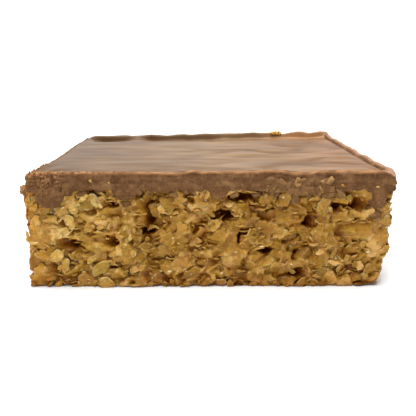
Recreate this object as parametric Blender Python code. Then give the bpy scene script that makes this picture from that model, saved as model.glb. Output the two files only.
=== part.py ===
"""A slice of chocolate-topped granola bar, lying flat as it was cut.

Two pieces at real size, in metres with +Z up. The base is pressed rolled oats, and its cut sides are craggy,
with flakes standing out of them and dark hollows between. The milk chocolate layer on it has a raised rim, and
its underside runs down into the oats in drips. The front cut face looks along -Y. The origin is at the middle
of the underside.
"""

import math
import random

import bmesh
import bpy
from mathutils import Matrix, Vector, noise

MM = 0.001

# Driving dimensions of the slice.
BAR_WIDTH = 88 * MM
BAR_DEPTH = 70 * MM
BAR_HEIGHT = 29 * MM
CHOCOLATE_THICKNESS = 4 * MM
CORNER_RADIUS = 1.3 * MM
SIDE_WAVER = 0.45 * MM
SIDE_WAVER_SPAN = 21 * MM
FOOT_SPREAD = 0.7 * MM
CLEARANCE = 0.3 * MM
# The left side was cut askew: it steps in by this much over this way back from the front left corner.
LEFT_STEP = 1.6 * MM
LEFT_STEP_REACH = 15 * MM

INTERFACE_HEIGHT = BAR_HEIGHT - CHOCOLATE_THICKNESS
HALF_WIDTH = BAR_WIDTH / 2
HALF_DEPTH = BAR_DEPTH / 2
CHOCOLATE_POINTS = 132
CORE_POINTS = 62

# The chocolate's rim: how far it rises above the flat on each side. It rises along the back, and the left edge sags.
RIM_FRONT = 0.2 * MM
RIM_RIGHT = 0.5 * MM
RIM_BACK_ENDS = (0.1 * MM, 1.6 * MM)
RIM_LEFT = -0.3 * MM
RIM_WIDTH = 1.9 * MM
RIM_UNEVENNESS = 0.3
RIM_UNEVENNESS_SPAN = 6 * MM
# The layer's section from wall to flat: inset, lift from the flat, share of the rim, share of the corner's sag.
CHOCOLATE_PROFILE = (
    (0.0, -2.2 * MM, 0.0, 0.0),
    (0.0, -0.5 * MM, 0.3, 1.0),
    (RIM_WIDTH * 0.2, 0.0, 1.0, 1.0),
    (RIM_WIDTH * 0.6, 0.0, 0.85, 1.0),
    (RIM_WIDTH, -0.25 * MM, 0.0, 0.7),
    (RIM_WIDTH * 3, 0.0, 0.0, 0.0),
)
BROKEN_CORNER = Vector((-HALF_WIDTH, -HALF_DEPTH))
BROKEN_CORNER_REACH = 9 * MM
BROKEN_CORNER_SAG = 0.7 * MM

# Drips of chocolate on the front face: where along it, half width and drop below the layer.
FRONT_DRIPS = (
    (-38.0 * MM, 3.6 * MM, 5.6 * MM),
    (-20.0 * MM, 3.4 * MM, 2.7 * MM),
    (-11.5 * MM, 4.0 * MM, 0.8 * MM),
    (2.2 * MM, 2.4 * MM, 2.6 * MM),
    (22.5 * MM, 5.0 * MM, 1.4 * MM),
    (40.2 * MM, 2.2 * MM, 5.0 * MM),
)
DRIPS_ON_OTHER_SIDES = 11
OTHER_DRIP_HALF_WIDTHS = (2.2 * MM, 4.0 * MM)
OTHER_DRIP_DROPS = (0.8 * MM, 4.2 * MM)
ROUNDNESS = 0.55
# How the drips fade out under the layer: inset from the cut face and share of the drop.
DRIP_FADE = ((8 * MM, 0.0), (2.2 * MM, 0.55), (0.1 * MM, 1.0))
INTERFACE_WAVER = 0.5 * MM
INTERFACE_WAVER_SPAN = 6 * MM
ROOM_MARGIN = 8 * MM

# The oat core lies this far inside the cut faces, and its flakes make up the rest.
CORE_INSET = 0.85 * MM
CORE_RELIEF = 0.6 * MM
CORE_RELIEF_SPAN = 7 * MM
CORE_LEVELS = 5
CORE_IN_CHOCOLATE = 1.5 * MM
FOOT_ROUNDING = 0.9 * MM

# Hollows in the front face: where along it, height, half width, half height.
FRONT_HOLLOWS = (
    (-39.0 * MM, 5.2 * MM, 1.4 * MM, 1.6 * MM),
    (-35.0 * MM, 11.4 * MM, 2.6 * MM, 1.4 * MM),
    (-24.2 * MM, 21.2 * MM, 1.8 * MM, 0.9 * MM),
    (-24.2 * MM, 11.4 * MM, 1.9 * MM, 1.1 * MM),
    (-14.8 * MM, 18.8 * MM, 1.3 * MM, 2.8 * MM),
    (-16.0 * MM, 14.2 * MM, 2.0 * MM, 0.8 * MM),
    (3.2 * MM, 18.0 * MM, 3.7 * MM, 1.3 * MM),
    (7.4 * MM, 22.6 * MM, 3.2 * MM, 1.0 * MM),
    (14.2 * MM, 18.6 * MM, 2.1 * MM, 1.9 * MM),
    (14.4 * MM, 9.2 * MM, 2.1 * MM, 0.8 * MM),
    (24.9 * MM, 16.9 * MM, 1.4 * MM, 1.9 * MM),
    (22.2 * MM, 3.7 * MM, 2.0 * MM, 1.1 * MM),
    (31.2 * MM, 20.2 * MM, 2.7 * MM, 1.1 * MM),
    (37.5 * MM, 20.8 * MM, 2.0 * MM, 1.5 * MM),
)
HOLLOWS_ON_OTHER_SIDES = 14
OTHER_HOLLOW_HEIGHTS = (4.0 * MM, 21.0 * MM)
OTHER_HOLLOW_HALF_WIDTHS = (1.4 * MM, 3.0 * MM)
OTHER_HOLLOW_HALF_HEIGHTS = (1.0 * MM, 1.9 * MM)
HOLLOW_DEPTH = 2.6 * MM

# Rolled oat flakes, in rows up the cut faces, kept off the hollows by a margin each way.
FLAKE_ROWS = 6
FLAKE_SPACING = 9.0 * MM
FLAKE_HEIGHT_JITTER = 0.7 * MM
HOLLOW_MARGIN_ALONG = 1.2 * MM
HOLLOW_MARGIN_UP = 0.8 * MM
FLAKE_LENGTHS = (4.8 * MM, 6.8 * MM)
FLAKE_THICKNESS = 1.05 * MM
FLAKE_SIDES = 7
FLAKE_BREADTHS = (0.68, 0.88)
FLAKE_UNEVENNESS = 0.1
FLAKE_CURL = 0.4 * MM
FLAKE_PROUD = (0.15 * MM, 0.65 * MM)
FLAKE_LEAN = (0.15, 0.65)
EDGE_ON_SHARE = 0.3
LOWEST_FLAKE_CENTRE = 2.3 * MM
HIGHEST_FLAKE_CENTRE = 23.2 * MM

OAT_COLOUR = (0.36, 0.19, 0.045, 1.0)
CHOCOLATE_COLOUR = (0.19, 0.09, 0.045, 1.0)

SEED = 5966


def clear_scene():
    for item in list(bpy.data.objects):
        bpy.data.objects.remove(item, do_unlink=True)


def new_collection(name):
    collection = bpy.data.collections.new(name)
    bpy.context.scene.collection.children.link(collection)
    return collection


def make_material(name, colour, roughness):
    material = bpy.data.materials.new(name)
    material.use_nodes = True
    shader = material.node_tree.nodes["Principled BSDF"]
    shader.inputs["Base Color"].default_value = colour
    shader.inputs["Roughness"].default_value = roughness
    shader.inputs["Metallic"].default_value = 0.0
    return material


# The footprint and the places measured along it.


def footprint_length():
    straights = 4 * (HALF_WIDTH + HALF_DEPTH - 2 * CORNER_RADIUS)
    return straights + 2 * math.pi * CORNER_RADIUS


def footprint_point(distance):
    """The point and outward direction at a distance round the footprint, from the front left towards +X."""
    inner_x, inner_y = HALF_WIDTH - CORNER_RADIUS, HALF_DEPTH - CORNER_RADIUS
    arc = CORNER_RADIUS * math.pi / 2
    remaining = distance % footprint_length()
    corner, heading = Vector((-inner_x, -inner_y)), 0.0
    for straight in (2 * inner_x, 2 * inner_y, 2 * inner_x, 2 * inner_y):
        along = Vector((math.cos(heading), math.sin(heading)))
        outward = Vector((along.y, -along.x))
        if remaining <= straight:
            return corner + along * remaining + outward * CORNER_RADIUS, outward
        corner, remaining = corner + along * straight, remaining - straight
        if remaining <= arc:
            angle = heading - math.pi / 2 + remaining / CORNER_RADIUS
            outward = Vector((math.cos(angle), math.sin(angle)))
            return corner + outward * CORNER_RADIUS, outward
        heading, remaining = heading + math.pi / 2, remaining - arc
    return footprint_point(0.0)


def front_distance(x):
    """The distance round the footprint of a place on the front face."""
    return x + HALF_WIDTH - CORNER_RADIUS


def face_point(distance, height, inset):
    """A point at this height and inset from the cut face, which wavers and spreads a little at its foot."""
    place, outward = footprint_point(distance)
    waver = SIDE_WAVER * noise.noise(Vector((place.x, place.y, height)) / SIDE_WAVER_SPAN)
    spread = FOOT_SPREAD * (1 - min(height / INTERFACE_HEIGHT, 1.0))
    depth = inset - waver - spread
    flat = Vector((place.x * (1 - depth / HALF_WIDTH), place.y * (1 - depth / HALF_DEPTH)))
    return Vector((flat.x, flat.y, height)), outward.to_3d()


def outline_distances(count):
    return [footprint_length() * i / count for i in range(count)]


def bump(offset, half_width):
    """A round hump, 1 at no offset and 0 beyond the half width."""
    return math.cos(min(abs(offset) / half_width, 1.0) * math.pi / 2) ** ROUNDNESS


def places_on_other_sides(count, rng):
    """Distances spread over the right, back and left faces, with a little jitter."""
    start, end = front_distance(HALF_WIDTH), footprint_length()
    step = (end - start) / count
    return [start + step * (i + 0.5 + rng.uniform(-0.3, 0.3)) for i in range(count)]


# The shared way of making a closed body.


def loft(name, rings, collection):
    """A closed body through rings of points, from its lowest middle outwards, up and back to its top middle."""
    mesh = bmesh.new()
    loops = [[mesh.verts.new(point) for point in ring] for ring in rings]
    for lower, upper in zip(loops, loops[1:]):
        for i, start in enumerate(lower):
            j = (i + 1) % len(lower)
            mesh.faces.new((start, lower[j], upper[j], upper[i]))
    caps = [mesh.faces.new(reversed(loops[0])), mesh.faces.new(loops[-1])]
    bands = [face for face in mesh.faces if face not in caps]
    bmesh.ops.triangulate(mesh, faces=bands, quad_method="FIXED")
    bmesh.ops.triangulate(mesh, faces=caps, ngon_method="EAR_CLIP")
    data = bpy.data.meshes.new(name)
    mesh.to_mesh(data)
    mesh.free()
    body = bpy.data.objects.new(name, data)
    collection.objects.link(body)
    return body


def apply_boolean(body, operation, operands):
    """Applies one Boolean of a whole collection to the body, then removes the collection's objects."""
    modifier = body.modifiers.new(operation.title(), "BOOLEAN")
    modifier.operation = operation
    modifier.operand_type = "COLLECTION"
    modifier.collection = operands
    modifier.solver = "MANIFOLD"
    graph = bpy.context.evaluated_depsgraph_get()
    result = bpy.data.meshes.new_from_object(body.evaluated_get(graph))
    body.modifiers.clear()
    body.data = result
    for operand in list(operands.objects):
        bpy.data.objects.remove(operand, do_unlink=True)


def keep_largest_shell(body):
    """Fills hollows that the fusing sealed and drops loose scraps, by keeping the shell with the most faces."""
    mesh = bmesh.new()
    mesh.from_mesh(body.data)
    unseen, shells = set(mesh.faces), []
    while unseen:
        shell, waiting = set(), [unseen.pop()]
        while waiting:
            face = waiting.pop()
            shell.add(face)
            neighbours = {near for edge in face.edges for near in edge.link_faces}
            waiting.extend(neighbours & unseen)
            unseen -= neighbours
        shells.append(shell)
    shells.sort(key=len)
    scraps = [face for shell in shells[:-1] for face in shell]
    bmesh.ops.delete(mesh, geom=scraps, context="FACES")
    mesh.to_mesh(body.data)
    mesh.free()


# The chocolate layer.


def make_drips(rng):
    """Every drip round the slice: its distance along the footprint, half width and drop."""
    drips = [(front_distance(x), half_width, drop) for x, half_width, drop in FRONT_DRIPS]
    for distance in places_on_other_sides(DRIPS_ON_OTHER_SIDES, rng):
        half_width = rng.uniform(*OTHER_DRIP_HALF_WIDTHS)
        drips.append((distance, half_width, rng.uniform(*OTHER_DRIP_DROPS)))
    return drips


def drip_drop(distance, drips):
    """How far the chocolate runs down below the layer at a place on the outline."""
    whole = footprint_length()
    place, _ = footprint_point(distance)
    drop = INTERFACE_WAVER * (1 + noise.noise(place.to_3d() / INTERFACE_WAVER_SPAN))
    for centre, half_width, depth in drips:
        offset = (distance - centre + whole / 2) % whole - whole / 2
        drop = max(drop, depth * bump(offset, half_width))
    return drop


def rim_height(distance):
    """The rim's height above the chocolate's flat, which differs from side to side and is uneven along each."""
    place, outward = footprint_point(distance)
    lowest, highest = RIM_BACK_ENDS
    back = lowest + (highest - lowest) * (place.x / BAR_WIDTH + 0.5)
    height = (
        RIM_RIGHT * max(outward.x, 0.0) ** 2
        + RIM_LEFT * max(-outward.x, 0.0) ** 2
        + back * max(outward.y, 0.0) ** 2
        + RIM_FRONT * max(-outward.y, 0.0) ** 2
    )
    uneven = 1 + RIM_UNEVENNESS * noise.noise(place.to_3d() / RIM_UNEVENNESS_SPAN)
    return height * uneven


def corner_sag(distance):
    """How far the broken front left corner of the chocolate lies below the rest."""
    place, _ = footprint_point(distance)
    near = 1 - min((place - BROKEN_CORNER).length / BROKEN_CORNER_REACH, 1.0)
    return BROKEN_CORNER_SAG * near


def underside_rings(drips, drop_below=0.0):
    """The chocolate's underside, from its flat middle out to the drips at its edge."""
    rings = []
    for inset, share in DRIP_FADE:
        ring = []
        for distance in outline_distances(CHOCOLATE_POINTS):
            height = INTERFACE_HEIGHT - share * drip_drop(distance, drips)
            ring.append(face_point(distance, height, inset)[0] - Vector((0, 0, drop_below)))
        rings.append(ring)
    return rings


def make_chocolate(drips, collection):
    """The layer, with cut walls, a raised rim and a flat top that is a little lower beside the rim."""
    rings = underside_rings(drips)
    for inset, lift, rim_share, sag_share in CHOCOLATE_PROFILE:
        ring = []
        for distance in outline_distances(CHOCOLATE_POINTS):
            height = BAR_HEIGHT + lift + rim_share * rim_height(distance) - sag_share * corner_sag(distance)
            ring.append(face_point(distance, height, inset)[0])
        rings.append(ring)
    return loft("chocolate_top", rings, collection)


def make_chocolate_room(drips, collection):
    """The space left for the chocolate: its underside less the clearance, carried out past the cut faces."""
    rings = underside_rings(drips, drop_below=CLEARANCE)
    outer = []
    for distance in outline_distances(CHOCOLATE_POINTS):
        edge_height = INTERFACE_HEIGHT - drip_drop(distance, drips) - CLEARANCE
        beyond, _ = face_point(distance, edge_height, -ROOM_MARGIN)
        outer.append(beyond)
    lifted = [Vector((point.x, point.y, BAR_HEIGHT + ROOM_MARGIN)) for point in outer]
    return loft("chocolate_room", rings + [outer, lifted], collection)


# The oat base.


def core_depth(point):
    """How far the core's side lies inside the cut face, from coarse and fine lumps."""
    coarse = noise.noise(point / CORE_RELIEF_SPAN)
    fine = noise.noise(point / (CORE_RELIEF_SPAN * 0.45))
    return CORE_INSET + CORE_RELIEF * (0.6 * coarse + 0.4 * fine)


def make_core(collection):
    """The pressed mass under the flakes, with a flat underside."""
    top = INTERFACE_HEIGHT + CORE_IN_CHOCOLATE
    step = (top - FOOT_ROUNDING) / (CORE_LEVELS - 1)
    heights = [0.0] + [FOOT_ROUNDING + step * i for i in range(CORE_LEVELS)]
    rings = []
    for height in heights:
        ring = []
        for distance in outline_distances(CORE_POINTS):
            face, _ = face_point(distance, height, 0.0)
            foot = FOOT_ROUNDING if height == 0.0 else 0.0
            ring.append(face_point(distance, height, core_depth(face) + foot)[0])
        rings.append(ring)
    return loft("oat_base", rings, collection)


def make_hollows(rng):
    """Every hollow round the slice: its distance along the footprint, height, half width and half height."""
    hollows = [(front_distance(x), height, wide, tall) for x, height, wide, tall in FRONT_HOLLOWS]
    for distance in places_on_other_sides(HOLLOWS_ON_OTHER_SIDES, rng):
        height = rng.uniform(*OTHER_HOLLOW_HEIGHTS)
        half_width = rng.uniform(*OTHER_HOLLOW_HALF_WIDTHS)
        hollows.append((distance, height, half_width, rng.uniform(*OTHER_HOLLOW_HALF_HEIGHTS)))
    return hollows


def add_hollow_cutters(hollows, collection):
    """One squashed ball for each hollow, half in and half out of the face."""
    for distance, height, wide, tall in hollows:
        centre, outward = face_point(distance, height, CORE_INSET)
        mesh = bmesh.new()
        bmesh.ops.create_icosphere(mesh, subdivisions=1, radius=1.0)
        turn = Matrix.Rotation(math.atan2(outward.x, -outward.y), 4, "Z")
        size = Matrix.Diagonal((wide, HOLLOW_DEPTH, tall, 1.0))
        mesh.transform(Matrix.Translation(centre) @ turn @ size)
        data = bpy.data.meshes.new("hollow")
        mesh.to_mesh(data)
        mesh.free()
        collection.objects.link(bpy.data.objects.new("hollow", data))


def is_by_hollow(distance, height, hollows):
    return any(
        abs(distance - place) < wide + HOLLOW_MARGIN_ALONG and abs(height - level) < tall + HOLLOW_MARGIN_UP
        for place, level, wide, tall in hollows
    )


def flake_sites(hollows, rng):
    """Places for flakes in staggered rows round the slice, leaving the hollows open."""
    columns = round(footprint_length() / FLAKE_SPACING)
    step = footprint_length() / columns
    sites = []
    for row in range(FLAKE_ROWS):
        share = row / (FLAKE_ROWS - 1)
        middle = LOWEST_FLAKE_CENTRE + (HIGHEST_FLAKE_CENTRE - LOWEST_FLAKE_CENTRE) * share
        for column in range(columns):
            distance = step * (column + 0.5 * (row % 2) + rng.uniform(-0.25, 0.25))
            height = middle + rng.uniform(-FLAKE_HEIGHT_JITTER, FLAKE_HEIGHT_JITTER)
            if not is_by_hollow(distance, height, hollows):
                sites.append((distance, height))
    rng.shuffle(sites)
    return sites


def flake_mesh(length, rng):
    """One rolled oat: an uneven oval disc with thin edges, bent a little along its length."""
    mesh = bmesh.new()
    bmesh.ops.create_cone(mesh, cap_ends=True, segments=FLAKE_SIDES, radius1=0.5, radius2=0.4, depth=1.0)
    breadth = length * rng.uniform(*FLAKE_BREADTHS)
    curl = FLAKE_CURL * rng.uniform(-1, 1)
    for corner in mesh.verts:
        uneven = 1 + FLAKE_UNEVENNESS * rng.uniform(-1, 1)
        bend = curl * (4 * corner.co.x**2 - 0.5)
        corner.co.x *= length * uneven
        corner.co.y *= breadth * uneven
        corner.co.z = corner.co.z * FLAKE_THICKNESS + bend
    return mesh


def flake_tilt(outward, rng):
    """How a flake lies: most nearly flat on the cut face, some edge-on as the pressed layers are."""
    facing = Vector((0, 0, 1)).rotation_difference(outward).to_matrix().to_4x4()
    if rng.random() < EDGE_ON_SHARE:
        facing = Matrix.Identity(4)
    turn = Matrix.Rotation(rng.uniform(0, math.tau), 4, "Z")
    lean = Matrix.Rotation(rng.uniform(*FLAKE_LEAN), 4, "X")
    spin = Matrix.Rotation(rng.uniform(0, math.tau), 4, "Z")
    return facing @ turn @ lean @ spin


def pull_in(mesh, furthest):
    """Moves a flake inwards, so that one at a corner stands out of neither face by more than this."""
    for axis, half in ((0, HALF_WIDTH), (1, HALF_DEPTH)):
        for side in (-1, 1):
            over = max(side * corner.co[axis] for corner in mesh.verts) - half - furthest
            step = Vector((0, 0, 0))
            step[axis] = -side * max(over, 0.0)
            mesh.transform(Matrix.Translation(step))


def add_flakes(hollows, collection, rng):
    """Fills the sites with flakes, the largest first, and lifts any that would reach below the underside."""
    sites = flake_sites(hollows, rng)
    shortest, longest = FLAKE_LENGTHS
    for number, (distance, height) in enumerate(sites):
        length = longest + (shortest - longest) * number / len(sites)
        face, outward = face_point(distance, height, 0.0)
        mesh = flake_mesh(length, rng)
        mesh.transform(flake_tilt(outward, rng))
        reach = max(corner.co.dot(outward) for corner in mesh.verts)
        mesh.transform(Matrix.Translation(face + outward * (rng.uniform(*FLAKE_PROUD) - reach)))
        pull_in(mesh, FOOT_SPREAD + rng.uniform(*FLAKE_PROUD))
        below = CLEARANCE - min(corner.co.z for corner in mesh.verts)
        mesh.transform(Matrix.Translation((0, 0, max(below, 0.0))))
        data = bpy.data.meshes.new("flake")
        mesh.to_mesh(data)
        mesh.free()
        collection.objects.link(bpy.data.objects.new("flake", data))


def make_oat_base(drips, parts, tools, rng):
    """The core with its hollows cut, its flakes fused on and its top fitted under the chocolate."""
    base = make_core(parts)
    hollows = make_hollows(rng)
    add_hollow_cutters(hollows, tools)
    apply_boolean(base, "DIFFERENCE", tools)
    add_flakes(hollows, tools, rng)
    apply_boolean(base, "UNION", tools)
    make_chocolate_room(drips, tools)
    apply_boolean(base, "DIFFERENCE", tools)
    keep_largest_shell(base)
    return base


def step_in_left(body):
    """Moves the left side in behind the front left corner, and what lies right of it ever less."""
    for corner in body.data.vertices:
        behind = min((corner.co.y + HALF_DEPTH) / LEFT_STEP_REACH, 1.0)
        leftwards = max(-corner.co.x / HALF_WIDTH, 0.0)
        corner.co.x += LEFT_STEP * max(behind, 0.0) * leftwards


def main():
    clear_scene()
    rng = random.Random(SEED)
    parts = new_collection("granola_bar")
    tools = new_collection("cutters_and_flakes")
    drips = make_drips(rng)
    chocolate = make_chocolate(drips, parts)
    chocolate.data.materials.append(make_material("milk_chocolate", CHOCOLATE_COLOUR, 0.35))
    base = make_oat_base(drips, parts, tools, rng)
    for body in (chocolate, base):
        step_in_left(body)
    base.data.materials.clear()
    base.data.materials.append(make_material("oats", OAT_COLOUR, 0.5))
    bpy.data.collections.remove(tools)


main()
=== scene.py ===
"""The looks of a slice of chocolate-topped granola bar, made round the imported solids.

The oat base is replaced by its real things: a craggy mass of syrup and oats, rolled oat flakes glued on it in
two depths, the clearest of them at places of their own, broken bits between them and flakes pressed into the
underside. The chocolate is replaced by a finer layer of the same form, with its rim, burr, creases and drips,
by oats that it has coated and by small chips. Lengths are in metres, with +Z up, unless a comment says
millimetres.
"""

import math
import random
from dataclasses import dataclass

import bpy
import numpy as np
from mathutils import Matrix, Vector, noise


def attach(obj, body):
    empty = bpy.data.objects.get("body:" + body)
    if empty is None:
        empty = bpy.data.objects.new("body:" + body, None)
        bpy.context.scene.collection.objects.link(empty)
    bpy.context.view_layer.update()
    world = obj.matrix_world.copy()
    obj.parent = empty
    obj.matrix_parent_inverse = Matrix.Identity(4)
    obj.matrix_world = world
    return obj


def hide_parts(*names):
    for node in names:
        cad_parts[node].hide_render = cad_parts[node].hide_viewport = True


MM = 0.001

# The slice as the solids have it.
BAR_WIDTH, BAR_DEPTH, BAR_HEIGHT = 88 * MM, 70 * MM, 29 * MM
HALF_WIDTH, HALF_DEPTH = BAR_WIDTH / 2, BAR_DEPTH / 2
CHOCOLATE_THICKNESS = 4 * MM
INTERFACE_HEIGHT = BAR_HEIGHT - CHOCOLATE_THICKNESS
CORNER_RADIUS = 1.3 * MM
SIDE_WAVER, SIDE_WAVER_SPAN = 0.45 * MM, 21 * MM
FOOT_SPREAD = 0.7 * MM
FRONT_FACE_TO = -HALF_DEPTH + CORNER_RADIUS
SOLIDS_SEED, LOOKS_SEED = 5966, 41
# The left side was cut askew: it steps in by this much over this way back from the front left corner.
LEFT_STEP, LEFT_STEP_REACH = 1.6 * MM, 15 * MM
# The front left corner of the oats is filled out, and the front right one bulges above its worn foot.
CORNER_REACH, WORN_HEIGHT = 8 * MM, 10 * MM
CORNER_FILL, CORNER_BULGE, CORNER_WEAR, CORNER_LIFT = 0.9 * MM, 0.9 * MM, 2.0 * MM, 1.1 * MM
CORNER_FILL_FROM, CORNER_FILL_OVER, OATS_FADE = 0.85, 0.15, 2 * MM

RIM_FRONT, RIM_RIGHT, RIM_LEFT = 0.2 * MM, 0.5 * MM, -0.3 * MM
RIM_BACK_ENDS = (0.1 * MM, 1.6 * MM)
RIM_WIDTH = 1.9 * MM
RIM_UNEVENNESS, RIM_UNEVENNESS_SPAN = 0.3, 6 * MM
BROKEN_CORNER = Vector((-HALF_WIDTH, -HALF_DEPTH))
BROKEN_CORNER_REACH, BROKEN_CORNER_SAG = 9 * MM, 0.9 * MM

# Drips of chocolate on the front face, in millimetres: where along it, half width and drop below the layer.
FRONT_DRIPS = (
    (-37.5, 3.0, 4.6),
    (-20.0, 3.4, 2.7),
    (-11.5, 4.0, 0.8),
    (2.2, 2.4, 2.6),
    (22.5, 5.0, 1.4),
    (40.4, 1.5, 5.2),
)
# On the other sides: how many, and the ranges of half width and drop.
DRIPS_ON_OTHER_SIDES, OTHER_DRIPS = 11, ((2.2 * MM, 4.0 * MM), (0.8 * MM, 4.2 * MM))
HUMP_FLATNESS, ROUNDNESS = 2.4, 0.6
INTERFACE_WAVER, INTERFACE_WAVER_SPAN = 0.5 * MM, 6 * MM

# Hollows in the front face, in millimetres: where along it, height, half width, half height.
FRONT_HOLLOWS = (
    (-39.0, 5.2, 1.4, 1.6),
    (-35.0, 11.4, 2.6, 1.4),
    (-24.2, 21.2, 1.8, 0.9),
    (-24.2, 11.4, 1.9, 1.1),
    (-14.8, 18.8, 1.3, 2.8),
    (-16.0, 14.2, 2.0, 0.8),
    (3.2, 18.0, 3.7, 1.3),
    (7.4, 22.6, 3.2, 1.0),
    (14.2, 18.6, 2.1, 1.9),
    (14.4, 9.2, 2.1, 0.8),
    (24.9, 16.9, 1.4, 1.9),
    (22.2, 3.7, 2.0, 1.1),
    (31.2, 20.2, 2.7, 1.1),
    (37.5, 20.8, 2.0, 1.5),
)
# On the other sides: how many, and the ranges of height, half width and half height.
HOLLOWS_ON_OTHER_SIDES = 14
OTHER_HOLLOWS = ((4.0 * MM, 21.0 * MM), (1.4 * MM, 3.0 * MM), (1.0 * MM, 1.9 * MM))
# Smaller gaps of the front face that the solids leave out, in the same measures as its hollows.
FRONT_GAPS = (
    (-11.4, 21.4, 1.1, 0.6),
    (-8.0, 19.9, 0.7, 0.6),
    (7.6, 12.3, 0.4, 1.6),
    (22.0, 9.3, 0.4, 1.5),
    (9.7, 5.0, 0.6, 0.6),
    (21.0, 23.0, 1.0, 0.8),
    (-30.6, 22.4, 1.3, 0.5),
    (-34.0, 24.0, 1.0, 0.7),
)


# Numbers and noise.


def noise_at(x, y, z, span=1.0):
    """Smooth noise of about -1 to 1, the same at the same place each run."""
    return noise.noise(Vector((x, y, z)) / span)


def smooth_step(low, high, value):
    share = min(max((value - low) / (high - low), 0.0), 1.0)
    return share * share * (3 - 2 * share)


def ridge(offset, width):
    """1 at no offset, falling on both sides."""
    return math.exp(-((offset / width) ** 2))


def fading(inset, reach):
    """1 at no inset, falling inwards."""
    return math.exp(-inset / reach)


def as_share(values):
    """Values held between 0 and 1."""
    return np.clip(values, 0.0, 1.0)


def jitters(count, low, high, rng):
    return np.array([rng.uniform(low, high) for _ in range(count)])


def random_vector(rng):
    return Vector([rng.gauss(0, 1) for _ in range(3)])


# The footprint and the places measured along it.


def footprint_length():
    straights = 4 * (HALF_WIDTH + HALF_DEPTH - 2 * CORNER_RADIUS)
    return straights + 2 * math.pi * CORNER_RADIUS


def footprint_point(distance):
    """The point and outward direction at a distance round the footprint, from the front left towards +X."""
    inner_x, inner_y = HALF_WIDTH - CORNER_RADIUS, HALF_DEPTH - CORNER_RADIUS
    arc = CORNER_RADIUS * math.pi / 2
    remaining = distance % footprint_length()
    corner, heading = Vector((-inner_x, -inner_y)), 0.0
    for straight in (2 * inner_x, 2 * inner_y, 2 * inner_x, 2 * inner_y):
        along = Vector((math.cos(heading), math.sin(heading)))
        outward = Vector((along.y, -along.x))
        if remaining <= straight:
            return corner + along * remaining + outward * CORNER_RADIUS, outward
        corner, remaining = corner + along * straight, remaining - straight
        if remaining <= arc:
            angle = heading - math.pi / 2 + remaining / CORNER_RADIUS
            outward = Vector((math.cos(angle), math.sin(angle)))
            return corner + outward * CORNER_RADIUS, outward
        heading, remaining = heading + math.pi / 2, remaining - arc
    return footprint_point(0.0)


def front_distance(x):
    """The distance round the footprint of a place on the front face."""
    return x + HALF_WIDTH - CORNER_RADIUS


def face_stand(point):
    """How far the cut face stands out of the plain footprint: it wavers, and spreads at its foot."""
    waver = SIDE_WAVER * noise_at(*point, SIDE_WAVER_SPAN)
    return waver + FOOT_SPREAD * (1 - min(max(point[2], 0.0) / INTERFACE_HEIGHT, 1.0))


def face_point(distance, height, inset):
    """A point at this height and inset from the cut face."""
    place, _ = footprint_point(distance)
    depth = inset - face_stand((*place, height))
    return (place.x * (1 - depth / HALF_WIDTH), place.y * (1 - depth / HALF_DEPTH), height)


def outline_distances(count):
    return [footprint_length() * i / count for i in range(count)]


def bump(offset, half_width):
    """A round hump, 1 at no offset and 0 beyond the half width."""
    return (1 - min(abs(offset) / half_width, 1.0) ** HUMP_FLATNESS) ** ROUNDNESS


def along_outline(start, end):
    """The signed way from one distance to another, the short way round."""
    whole = footprint_length()
    return (end - start + whole / 2) % whole - whole / 2


def on_front(rows):
    """Rows of a place along the front and sizes, all in millimetres, as distances round it and metres."""
    return [(front_distance(x * MM), *(size * MM for size in sizes)) for x, *sizes in rows]


def on_other_sides(count, ranges, rng):
    """Rows of a place on the other faces, evenly spread with a little jitter, and sizes from ranges."""
    start, end = front_distance(HALF_WIDTH), footprint_length()
    step = (end - start) / count
    places = [start + step * (i + 0.5 + rng.uniform(-0.3, 0.3)) for i in range(count)]
    return [(place, *(rng.uniform(*sizes) for sizes in ranges)) for place in places]


solids_rng = random.Random(SOLIDS_SEED)
DRIPS = on_front(FRONT_DRIPS) + on_other_sides(DRIPS_ON_OTHER_SIDES, OTHER_DRIPS, solids_rng)
HOLLOWS = on_front(FRONT_HOLLOWS) + on_other_sides(HOLLOWS_ON_OTHER_SIDES, OTHER_HOLLOWS, solids_rng)
HOLLOWS += on_front(FRONT_GAPS)


def drip_drop(distance):
    """How far the chocolate runs down below the layer at a place on the outline."""
    place, _ = footprint_point(distance)
    drop = INTERFACE_WAVER * (1 + noise_at(*place, 0.0, INTERFACE_WAVER_SPAN))
    for centre, half_width, depth in DRIPS:
        drop = max(drop, depth * bump(along_outline(centre, distance), half_width))
    return drop


def outside_face(points):
    """How far points lie outside the plain footprint, and the outward direction at each."""
    inner = np.array([HALF_WIDTH, HALF_DEPTH]) - CORNER_RADIUS
    beyond = np.abs(points[:, :2]) - inner
    past = np.maximum(beyond, 0.0)
    length = np.linalg.norm(past, axis=1)
    distance = length + np.minimum(beyond.max(axis=1), 0.0) - CORNER_RADIUS
    nearer_x = (beyond[:, 0] > beyond[:, 1])[:, None]
    straight = np.where(nearer_x, [1.0, 0.0], [0.0, 1.0])
    rounded = past / np.maximum(length, 1e-9)[:, None]
    direction = np.where((length > 0)[:, None], rounded, straight) * np.sign(points[:, :2])
    return distance, direction


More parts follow.
